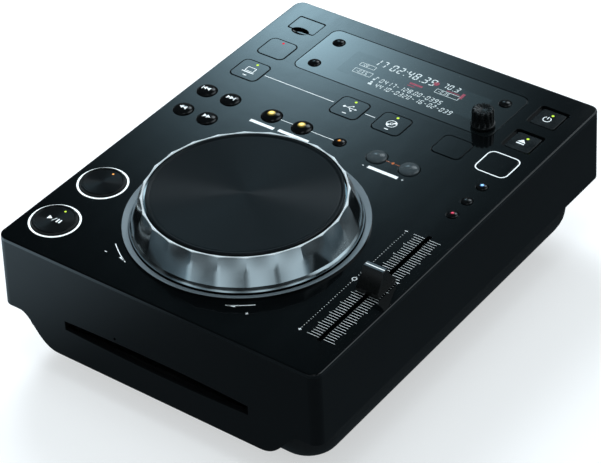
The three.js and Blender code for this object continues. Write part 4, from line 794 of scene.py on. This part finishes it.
# Milky polycarbonate over lamps: the rings round the two large buttons, and the small lamps of the keys
ring_light = glow_of("ring_lit_white", "#dfe5e6", "#eef6f8", 0.55)
amber_led = glow_of("led_amber", "#6b4012", "#ffb560", 1.3)
green_led = glow_of("led_green", "#4c6613", "#c8f04e", 1.5)
red_led = glow_of("led_red", "#5a1218", "#e02840", 1.3)


def lit_lens(name, x, y, wide, middle, rim, power):
    """A tinted acrylic lens over a lamp: bright in its middle, and deep in colour towards its rim."""
    made, tree, spot = material(name)
    flat = round_axis(tree, spot, x - 0.15 * wide, y + 0.2 * wide)
    near = measured(tree, "DISTANCE", flat, (0, 0, 0), 0.1 * wide * mm, wide * mm, 1.0, 0.0)
    tone = put(tree, "Mix", {0: near, 6: shade(rim), 7: shade(middle)}, data_type="RGBA").outputs[2]
    light = put(tree, "Math", {0: near, 1: power}, operation="MULTIPLY")
    skin = put(tree, "BsdfPrincipled", {
        "Base Color": tone, "Roughness": 0.12, "IOR": 1.49, "Emission Color": tone, "Emission Strength": light,
    })
    put(tree, "OutputMaterial", {"Surface": skin})
    return made


stem_low = -7.2
flange_low = -3.9
flange_high = -2.9
domes = {6.0: 2.0, 6.2: 2.2, 3.8: 1.3, 3.3: 1.2, 3.7: 1.4}
dome_foot = 0.3
large = 10
face_high = 1.2
yellow = ("#ffd977", "#3b3616", 0.75)
lenses = {
    "loop_in_button": (2.9, *yellow), "loop_out_button": (2.9, *yellow),
    "loop_exit_button": (1.4, "#e0903a", "#2c1c0c", 0.6), "jog_mode_button": (1.6, "#8fc4ff", "#0d1c33", 1.0),
    "key_lock_button": (1.5, "#c8405a", "#240c12", 0.6),
}

for name, (x, y, radius) in round_keys.items():
    body = name + "_body"
    profile = [(1.6, stem_low), (1.6, flange_low), (radius + 1.2, flange_low), (radius + 1.2, flange_high),
               (radius, flange_high)]
    if radius > large:
        profile += [(radius, face_high), (radius - 0.12, 1.55), (radius - 0.45, 1.8), (radius - 0.9, 1.88),
                    (radius - 1.4, 1.78), (radius - 1.8, 1.35), (0.3, face_high)]
        finish = spun(name + "_spun_face", x, y, "#0a0c0d", "#121517", 0.3, 0.4)
    else:
        rise = domes[radius]
        turns = [math.radians(10 * i) for i in range(10)]
        profile += [
            (radius * max(math.cos(a), 0.05), dome_foot + (rise - dome_foot) * math.sin(a)) for a in turns
        ]
        finish = cap_grey if name.startswith("beat") else cap_black
    cap = turned(name + "_cap", x, y, profile, 64 if radius > large else 40)
    dress(cap, body, "button_grey" if finish == cap_grey else "button_black", [name], finish)
    if name in lenses:
        wide, *colours = lenses[name]
        lens = turned(name + "_lens", x, y, [
            (wide, rise - 0.6), (wide, rise - 0.12 * wide), (wide * 0.8, rise), (wide * 0.45, rise + 0.1),
            (0.1, rise + 0.14),
        ], 28)
        dress(lens, body, "button_black", (), lit_lens(name + "_lens_acrylic", x, y, wide, *colours))
    if radius > large:
        ring = turned(name + "_ring", x, y, [
            (13.9, -0.4), (15.1, -0.4), (15.1, 0.1), (14.95, 0.2), (14.05, 0.2), (13.9, 0.1), (13.9, -0.4),
        ], 96)
        dress(ring, "player", "button_grey", (), ring_light)
        led = turned(name + "_led", x + 0.6, y + 8.7, [(0.7, 1.1), (0.7, 1.3), (0.5, 1.45), (0.1, 1.52)], 16)
        dress(led, body, "button_black", (), amber_led if name == "cue_button" else green_led)

print_on("play_icon", [
    patch([(-4.6, 1.7), (-4.6, -1.7), (-1.6, 0)]), bar(-0.1, 0, 0.45, 3.6, -24), bar(2.3, 0, 1.0, 3.2),
    bar(4.1, 0, 1.0, 3.2),
], "play_button_body", "button_black", ink, *round_keys["play_button"][:2], face_high + 0.02)


def arrows(way, stop):
    """Two arrowheads, with a bar before them where the key jumps to a track."""
    shapes = [bar(way * 3.0, 0, 0.6, 3.0)] if stop else []
    for tip in (0.1 * way, 2.6 * way):
        shapes.append(patch([(tip, 0), (tip - way * 2.5, way * 1.5), (tip - way * 2.5, -way * 1.5)]))
    return shapes


# The arrows follow the domes that they are printed on
dome_sunk = 1.7
for name in ("track_back_button", "track_next_button", "search_back_button", "search_next_button"):
    x, y, radius = round_keys[name]
    shapes = arrows(-1 if "back" in name else 1, name.startswith("track"))
    icon = print_on(name + "_icon", shapes, name + "_body", "button_black", ink, x, y, 1.98, 0.12)
    for corner in icon.data.vertices:
        out = corner.co - at(x, y)
        corner.co.z -= dome_sunk * mm * (1 - math.sqrt(1 - (math.hypot(out.x, out.y) / (radius * mm)) ** 2))

# Keys: eight square rubber-backed caps in the panel's own gloss. Six lie flush in rounded holes, two lie low in
# sunk pockets. Most have a small round lamp and a printed sign. A broad white frame is printed round the lock key.


def key_cap(name, x, y, width, depth, corner, high):
    cap = slab(name, x, y, width, depth, flange_low, high, corner, 8)
    soften(cap, lambda c: c.z > top + (high - 0.1) * mm, 0.25)
    flange = slab("flange", x, y, width + 2.4, depth + 2.4, flange_low, flange_high, corner, 4)
    return together(name, [smooth(cap, 30), flange, bore(x, y, 1.6, stem_low, flange_low + 0.3, 16)])


flat_high, pocket_high = 0.15, -0.9
lamps_on_keys = {
    "stop_key": (-0.2, 6.7, red_led), "computer_key": (0.6, 6.7, green_led), "stick_key": (0, 6.7, green_led),
    "disc_key": (-0.1, 6.8, green_led), "power_key": (0.5, 4.2, green_led), "eject_key": (0.4, 4.4, green_led),
}
for name, (x, y) in {**flat_keys, **pocket_keys}.items():
    sunk = name in pocket_keys
    high = pocket_high if sunk else flat_high
    size = (15.6, 16.4, 1.6) if sunk else (key_width - 0.3, key_depth - 0.3, 3.5)
    cap = key_cap(name + "_cap", x, y, *size, high)
    dress(cap, name + "_body", "key_black", [name], cap_black if sunk else gloss)
    if name in lamps_on_keys:
        side, up, light = lamps_on_keys[name]
        led = turned(name + "_led", x + side, y + up, [
            (0.85, high - 0.3), (0.85, high + 0.05), (0.6, high + 0.25), (0.1, high + 0.35),
        ], 16)
        dress(led, name + "_body", "key_black", (), light)

x, y = flat_keys["lock_key"]
print_on("lock_key_surround", frame_line(x, y, key_width + 2.2, key_depth + 2.2, 4.6, 0.75),
         "player", "panel_gloss", ink)

quarters = (0, 90, 180, 270)
under_line = (0, -5.9, 2.6, 0.7)
signs = {
    "computer_key": [*frame_line(0, 0.6, 6.4, 4.4, 0.6, 0.45), bar(0, -2.6, 8.6, 0.7), bar(*under_line)],
    "stick_key": [
        bar(0, 0, 7.6, 0.45), dot(-3.8, 0, 0.9), patch([(3.6, -0.9), (5, 0), (3.6, 0.9)]),
        bar(-0.6, 1.1, 2.9, 0.4, 48), dot(1.2, 2.2, 0.6), bar(0.6, -1.1, 2.9, 0.4, -48), bar(2.2, -2.2, 1.1, 1.1),
        bar(*under_line),
    ],
    "disc_key": [
        *[arc(0, 0, radius, 0.45, a, a + 90, steps) for radius, steps in ((3.2, 8), (1.0, 6)) for a in quarters],
        *[arc(0, 0, 2.2, 1.6, a, a + 40, 6) for a in (20, 200)], bar(*under_line),
    ],
    "power_key": [
        *[arc(-0.7, -0.6, 2.4, 0.55, a, a + 150, 12) for a in (120, 270)], bar(-0.7, 1.0, 0.55, 2.6),
    ],
    "eject_key": [patch([(-3.8, -0.4), (1.4, -0.4), (-1.2, 2.6)]), bar(-1.2, -1.7, 5.2, 0.9)],
}
for name, shapes in signs.items():
    x, y, high = (*pocket_keys[name], pocket_high) if name in pocket_keys else (*flat_keys[name], flat_high)
    print_on(name + "_icon", shapes, name + "_body", "key_black", ink, x, y, high + 0.01)

# Memory stick cover: a small gloss lid hinged at its back edge, with a curved bite for a fingertip at its front. It
# closes over a metal socket in the well.

lid_high = -0.14
socket_high = -7.9
lid = slab("stick_lid", cover_x, cover_y + 0.1, 19, 13.4, -1.5, lid_high, 1.4, 4)
barrel = begin(
    bpy.ops.mesh.primitive_cylinder_add, "lid_barrel", vertices=20, radius=0.6 * mm, depth=17 * mm,
    location=at(cover_x, 128.25, -0.75), rotation=(0, math.radians(90), 0),
)
bite = begin(
    bpy.ops.mesh.primitive_cylinder_add, "lid_bite", vertices=40, radius=1, depth=6 * mm,
    location=at(cover_x, bite_y, -1), scale=(6 * mm, 3.6 * mm, 1),
)
combine(lid, [bite], "DIFFERENCE")
soften(lid, at_height(lid_high), 0.25)
combine(lid, [barrel], "UNION")
smooth(lid, 30)
dress(lid, "stick_cover", "panel_gloss", ["usb_cover"], gloss)

socket = slab("stick_socket", cover_x, cover_y, 13.2, 5.9, -18.9, socket_high)
combine(socket, [slab("socket_hollow", cover_x, cover_y, 12.2, 4.9, -18.4, -7)], "DIFFERENCE")
tongue = slab("tongue", cover_x, cover_y + 1.25, 11.6, 1.8, -18.6, -8.4)
soften(socket, at_height(socket_high), 0.12)
# Folded nickel-plated steel, with the dull streaks of rolled sheet
nickel = moulded("nickel_plated_steel", "#71777a", "#868c8e", 4, 0.22, 0.36, 0.05, Metallic=1.0)
dress(together("stick_socket", [smooth(socket, 30)]), "player", "socket_plating", ["usb_stick_socket"], nickel)
dress(tongue, "player", "socket_plating", (), nylon)

# Jog dial: a chromed skirt of 24 scooped facets round a black spun plate with a rolled lip. It turns in a bezel
# ring fixed to the panel.

flutes = 24
flute_steps = 8
flute_turn = 7.5


def carve(piece, x, y, depth_at):
    """Moves corners in towards an upright axis, by a depth that follows from their radius, height and angle."""
    for corner in piece.data.vertices:
        out = corner.co - at(x, y)
        across = math.hypot(out.x, out.y)
        cut = depth_at(across / mm, out.z / mm, math.degrees(math.atan2(out.y, out.x))) * mm
        corner.co.x -= cut * out.x / across
        corner.co.y -= cut * out.y / across


def flute_depth(across, high, turn):
    """A shallow scoop at the foot that deepens quickly near the top, on the outside and on the rim over it."""
    if high <= 2.95 or across <= (58.6 if high < 15 else 57):
        return 0
    deepest = min(1, (high - 2.9) / 1.2) * 0.25 + 0.65 * max(0, min(1, (high - 4.1) / 15)) ** 3.5
    share = (turn - flute_turn) / (360 / flutes) % 1
    return deepest * (1 - (2 * share - 1) ** 2)


skirt = turned("jog_skirt_chromed", 0, dial_y, [
    (63.0, 1.4), (65.5, 1.4), (65.75, 1.6), (65.6, 2.0), (65.4, 2.5), (65.15, 2.95), (64.8, 3.5), (64.4, 4.1),
    (62.91, 7.85), (61.42, 11.6), (59.94, 15.35), (58.45, 19.1), (58.3, 19.35), (58.15, 19.4), (56.9, 19.4),
    (56.6, 19.1), (56.6, 16.8), (5.0, 16.8), (5.0, 14.8), (58.4, 14.8), (63.0, 2.0), (63.0, 1.4),
], flutes * flute_steps)
carve(skirt, 0, dial_y, flute_depth)
smooth(skirt, 6)

# Bright chrome plate over ABS: nearly a mirror, a little cool, with a faint orange peel
chrome = moulded("bright_chrome_plate", "#9fabb0", "#b1bcc0", 7, 0.1, 0.2, 0.05, 0.1, 2.0, (0, 1), Metallic=1.0)

# The same plate on the narrow top rim is brushed, so it shines pale from every side
rim_chrome = moulded("brushed_chrome_rim", "#c3cdd0", "#d9e1e3", 0.8, 0.32, 0.45, 0.1, Metallic=0.35)
dress(skirt, "jog_dial", "bright_chrome", ["jog_skirt"], chrome, rim_chrome)
for part in skirt.data.polygons:
    part.material_index = int(part.center.z > top + 19.2 * mm and part.normal.z > 0.5)

plate = turned("jog_plate_spun", 0, dial_y, [
    (52, 16.8), (55.0, 16.8), (55.35, 17.2), (55.35, 19.3), (55.25, 19.6), (55.0, 19.85), (54.6, 19.95), (54.2, 19.9),
    (53.8, 19.7), (53.4, 19.45), (53.0, 19.35), (52.4, 19.35), (52.1, 19.5), (0.2, 19.5),
], 160)
# Aluminium turned on a lathe and anodised black: its rings draw each light out into two dim wedges
anodised = spun("spun_black_anodised", 0, dial_y, "#111517", "#1a1f22", 0.32, 0.55)
dress(plate, "jog_dial", "spun_black", ["jog_plate"], anodised)

bezel = turned("dial_bezel_ring", 0, dial_y, [
    (66.05, -0.1), (69.8, -0.1), (69.8, 1.0), (69.7, 1.3), (69.45, 1.5), (69.15, 1.45), (66.5, 0.4), (66.2, 0.25),
    (66.05, 0.0), (66.05, -0.1),
], 160)
# Satin plate with less shine than the skirt, so it keeps one even grey
satin_plate = moulded("satin_nickel_plate", "#687379", "#768288", 1.2, 0.3, 0.42, 0.05, Metallic=0.15)
dress(bezel, "player", "bright_chrome", ["dial_bezel"], satin_plate, gloss)
# Its steep faces take the panel's black gloss: painted shade on the sides of the plated ring
for part in bezel.data.polygons:
    part.material_index = int(part.normal.z < 0.5)

# Tempo fader: a waisted cap with a white line on its ridge rides a flat steel lever in the long slot.

ridge = 14.1
ridge_length = 13.2
ridge_half = 1.8
waist_half, waist_high = 3.7, 8.29
foot_low, foot_high = 0.9, 3.3
foot_half = 8.7
foot_length = 14.6
cap_x = at(fader_x, 0).x

flank = [(foot_half, foot_low)]
for i in range(13):
    t = i / 12
    s = 1 - t
    flank.append((
        s ** 2 * foot_half + 2 * t * s * waist_half + t * t * ridge_half,
        s ** 2 * foot_high + 2 * t * s * waist_high + t * t * ridge,
    ))
flank += [(-y, z) for y, z in reversed(flank)]
outline = [at(fader_x - foot_length / 2, fader_y + y, z) for y, z in flank]
cap = thicken(sheet("fader_cap_waisted", outline), (foot_length * mm, 0, 0))
pick(cap, "VERT", lambda v: v.co.z > top + (ridge - 0.2) * mm)
bpy.ops.transform.resize(value=(ridge_length / foot_length, 1, 1), center_override=at(fader_x, fader_y, ridge))
close(cap)
# Between foot and ridge its ends lean in by the same slope
for corner in cap.data.vertices:
    if top + (foot_high + 0.1) * mm < corner.co.z < top + (ridge - 0.3) * mm:
        share = (corner.co.z - at(0, 0, foot_low).z) / ((ridge - foot_low) * mm)
        corner.co.x = cap_x + (corner.co.x - cap_x) * (1 - share * (foot_length - ridge_length) / foot_length)
combine(cap, [slab("lever_bore", fader_x, fader_y, 2, 5.6, 0, 9)], "DIFFERENCE")
soften(cap, lambda c: c.z > top + 1.0 * mm and abs(c.x - cap_x) > 6 * mm, 0.35, 3)
smooth(cap, 40)
# Fine-grained ABS: dull on its flanks, with a thin line of light along each edge
cap_matt = moulded("satin_black_fader_cap", "#050606", "#090b0b", 0.9, 0.26, 0.34, 0.02)
dress(cap, "tempo_slider", "fader_black", ["fader_cap"], cap_matt)
print_on("fader_cap_line", [bar(0, 0, 12.2, 0.7)], "tempo_slider", "fader_black", ink,
         fader_x, fader_y, ridge + 0.01)
# Fine moulded ribs beside the line, in a lighter grey than the cap
grey_rib_finish = moulded("grey_moulded_ribs", "#39454a", "#55636a", 0.9, 0.3, 0.45)
print_on("fader_cap_ribs", [bar(0, d, 12.4, 0.4) for d in (-1.55, -0.9, 0.9, 1.55)], "tempo_slider",
         "fader_black", grey_rib_finish, fader_x, fader_y, ridge, 0.15)

# Selector: a tall ribbed knob on a steel shaft, which turns to choose and is pressed to load.

ribs = 12
groove_deep = 1.1
knob = turned("selector_knob_ribbed", knob_x, knob_y, [
    (6.5, 0.9), (6.5, 1.4), (7.3, 1.6), (7.3, 2.5), (7.1, 2.7), (6.7, 2.75), (6.65, 5), (6.6, 8), (6.5, 11.0),
    (6.35, 11.7), (5.9, 12.05), (5.2, 12.1), (3.4, 11.6), (0.2, 11.5),
], ribs * 12)


def groove_depth(across, high, turn):
    """Round grooves between the ribs, over the knob's skirt and short of its top."""
    if high <= 2.8 or not 4.9 < across < 6.8:
        return 0
    return groove_deep * max(0, math.cos(math.radians(turn * ribs - 180))) ** 0.7


carve(knob, knob_x, knob_y, groove_depth)
smooth(knob, 30)
# Moulded ABS, a little glossier on the ribs that fingers polish
knob_skin = moulded("satin_black_knob", "#0a0c0c", "#121516", 0.8, 0.2, 0.3, 0.05)
dress(knob, "selector_grip", "knob_black", ["selector_knob"], knob_skin)

# Tub and feet: the lower shell curves under to a flat floor, with a row of vents at the back, and stands on four
# turned rubber pads.

tub_low, tub_top = -78.0, -48
tub_half, tub_front, tub_back = 106.5, -141, 124.65
tub_curve = 21
round_depth = 265.6


def drawn(name, outline, rings):
    """A flat outline drawn up or down through rings of half width, front, back and height."""
    half, near, far, height = rings[0]
    piece = sheet(name, [at(x * half, (near + far) / 2 + y * (far - near) / 2, height) for x, y in outline])
    pick(piece, "FACE", lambda face: True)
    for wide, front, back, high in rings[1:]:
        middle = (front + back) / 2
        bpy.ops.mesh.extrude_region_move(TRANSFORM_OT_translate={
            "value": (0, (middle - (near + far) / 2) * mm, (high - height) * mm),
        })
        grow = (wide / half, (back - front) / (far - near), 1)
        bpy.ops.transform.resize(value=grow, center_override=at(0, middle, high))
        half, near, far, height = wide, front, back, high
    return close(piece, outward=True)


def tub_shell(name, inset, extra):
    """The tub's outside, or its inside when inset: a flat floor, a quarter round, a wall and a rim."""
    rings = []
    for i in range(13):
        turn = math.radians(90 * i / 12)
        pulled = inset + (tub_curve - inset) * (1 - math.sin(turn))
        height = tub_low + tub_curve - (tub_curve - inset) * math.cos(turn)
        rings.append((tub_half - pulled, tub_front + pulled, tub_back - pulled, height))
    rings.append((tub_half - inset, tub_front + inset, tub_back - inset, tub_top + inset))
    outline = rounded(0, 0, 2 * tub_half, round_depth, 18, 10)
    low = drawn(name, [(x / tub_half, y / (round_depth / 2)) for x, y in outline], rings)
    width, depth = 2 * (tub_half - inset), -2 * (tub_front + inset)
    high = slab("tub_rim", 0, 0, width, depth, tub_top + inset - 0.01, -42 + extra, 5.5 - inset / 2, 8)
    return combine(low, [high], "UNION")


tub = tub_shell("tub_shell", 0, 0)
tub_cuts = [slab("tub_mouth", 0, tub_front, 132, 40, -50.3, -41)]
tub_cuts += [slab("vent", (i - 3.5) * 7, 78.65, 2.4, 34, -79, -74, 1.15, 4) for i in range(8)]
combine(tub, [tub_shell("tub_inside", 2.2, 1), together("tub_cuts", tub_cuts)], "DIFFERENCE")
smooth(tub, 30)
# Polystyrene from a coarsely textured mould, which stays dull even in bright light
tub_skin = moulded("matt_black_polystyrene", "#0b0c0d", "#121415", 0.6, 0.5, 0.62, 0.25)
dress(tub, "player", "tub_black", ["bottom_tub"], tub_skin)

# Moulded rubber, so matt that it hardly shines at all
rubber = moulded("black_moulded_rubber", "#0d0d0e", "#161616", 0.9, 0.7, 0.85, 0.3)
for name in ("front_left", "front_right", "rear_left", "rear_right"):
    x = 77.25 if "right" in name else -77.25
    y = -109.65 if "front" in name else 91.65
    foot = turned("foot_" + name + "_pad", x, y, [
        (3.4, -84.4), (3.4, -87), (7.9, -87), (8.2, -86.7), (9.5, -80.5), (9.5, -78), (3.4, -78), (0.2, -78.5),
    ], 48)
    dress(foot, "player", "foot_rubber", ["foot_" + name], rubber)

# Printed marks: white ink on the gloss panel, laid by screen after moulding. Words are left out, and what stays are
# lines, bars, scales and signs.

marks = [bar(*place_and_size) for place_and_size in (
    (-51.65, 63.5, 51.1, 0.45), (0.0, 63.5, 7.2, 0.45), (-37.35, 31.7, 8.8, 0.4), (-11.5, 31.7, 16.6, 0.4),
    (-48.2, 21.8, 17.1, 2.4), (-25.9, 22.3, 21.5, 2.4), (37.8, 21.4, 20.4, 2.4), (24.5, 21.0, 1.3, 0.4),
    (51.2, 21.4, 1.3, 0.4), (51.2, 21.4, 0.4, 1.3), (-48.1, -121.9, 1.6, 0.4), (48.6, -121.7, 1.6, 0.4),
    (48.6, -121.7, 0.4, 1.6),
)]


def around(radius, degrees):
    """A place at an angle round the dial."""
    return radius * math.cos(math.radians(degrees)), dial_y + radius * math.sin(math.radians(degrees))


for start, end, tip in ((-130.3, -116.5, -116.5), (-62, -49.5, -62)):
    tail = tip + (4.2 if tip > -90 else -4.2)
    marks.append(arc(0, dial_y, 74.2, 0.5, start, end))
    marks.append(patch([around(74.0, tip), around(74.2, tail), around(75.6, tail)]))
zero_y = -66.4
reach = 50
dots_x = 79.6
for i in range(51):
    y = zero_y - reach + 2 * i
    if i not in (0, 25, 50):
        marks.append(bar(dots_x, y, 0.6, 0.25))
    out = 8.9 if i % 5 == 0 else 7.6
    marks += [bar(fader_x + side * (1.5 + out) / 2, y, out - 1.5, 0.17) for side in (-1, 1)]
marks += [bar(dots_x, zero_y + up, 1.9, 0.4) for up in (reach, -reach)]
marks.append(bar(dots_x, zero_y - reach, 0.4, 1.9))
marks += [arc(dots_x, zero_y, 1.3, 0.35, a, a + 180, 8) for a in (0, 180)]
marks += [dot(101, zero_y, 0.45), dot(101, zero_y + 9.7, 0.45)]
print_on("panel_marks", marks, "player", "panel_gloss", ink)
# Amber ink that a lamp under the panel lights softly
print_on("beat_mark", [bar(37.9, 31.7, 1.6, 1.6, 45), bar(34.6, 31.7, 3.0, 0.3), bar(41.2, 31.7, 3.0, 0.3)],
         "player", "panel_gloss", glow_of("amber_mark", "#8a4a1c", "#e0702e", 0.3))

# Rear sockets: two phono jacks, a square data socket and the mains inlet stand in their holes. What lies inside the
# case keeps its own shapes, with the finish of each real part.

left_as_cad = (
    (moulded("green_solder_resist", "#123524", "#1b4530", 1.2, 0.3, 0.45, 0.1),
     "switch_board main_board power_board"),
    (moulded("turned_steel_bar", "#8d9193", "#a3a7a8", 0.5, 0.2, 0.32, 0.05, Metallic=1.0),
     "sled_rod_left sled_rod_right jog_shaft selector_shaft"),
    (moulded("sintered_bronze", "#8a6a3c", "#a07f4c", 0.4, 0.35, 0.5, 0.15, Metallic=1.0), "dial_bearing"),
    (moulded("zinc_plated_sheet", "#8f9698", "#a9afb0", 6, 0.3, 0.45, 0.05, Metallic=1.0),
     "fader_carriage drive_frame encoder_wheel"),
    (moulded("grey_roller_rubber", "#26282a", "#313436", 0.7, 0.65, 0.8, 0.2), "feed_roller"),
    (moulded("black_acetal", "#101112", "#18191a", 0.8, 0.35, 0.5, 0.1),
     "fader_body mains_inlet disc_hub pickup_sled"),
    (nickel, "usb_computer_socket audio_jack_left audio_jack_right"),
)
for finish, nodes in left_as_cad:
    for node in nodes.split():
        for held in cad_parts[node].material_slots:
            held.material = finish
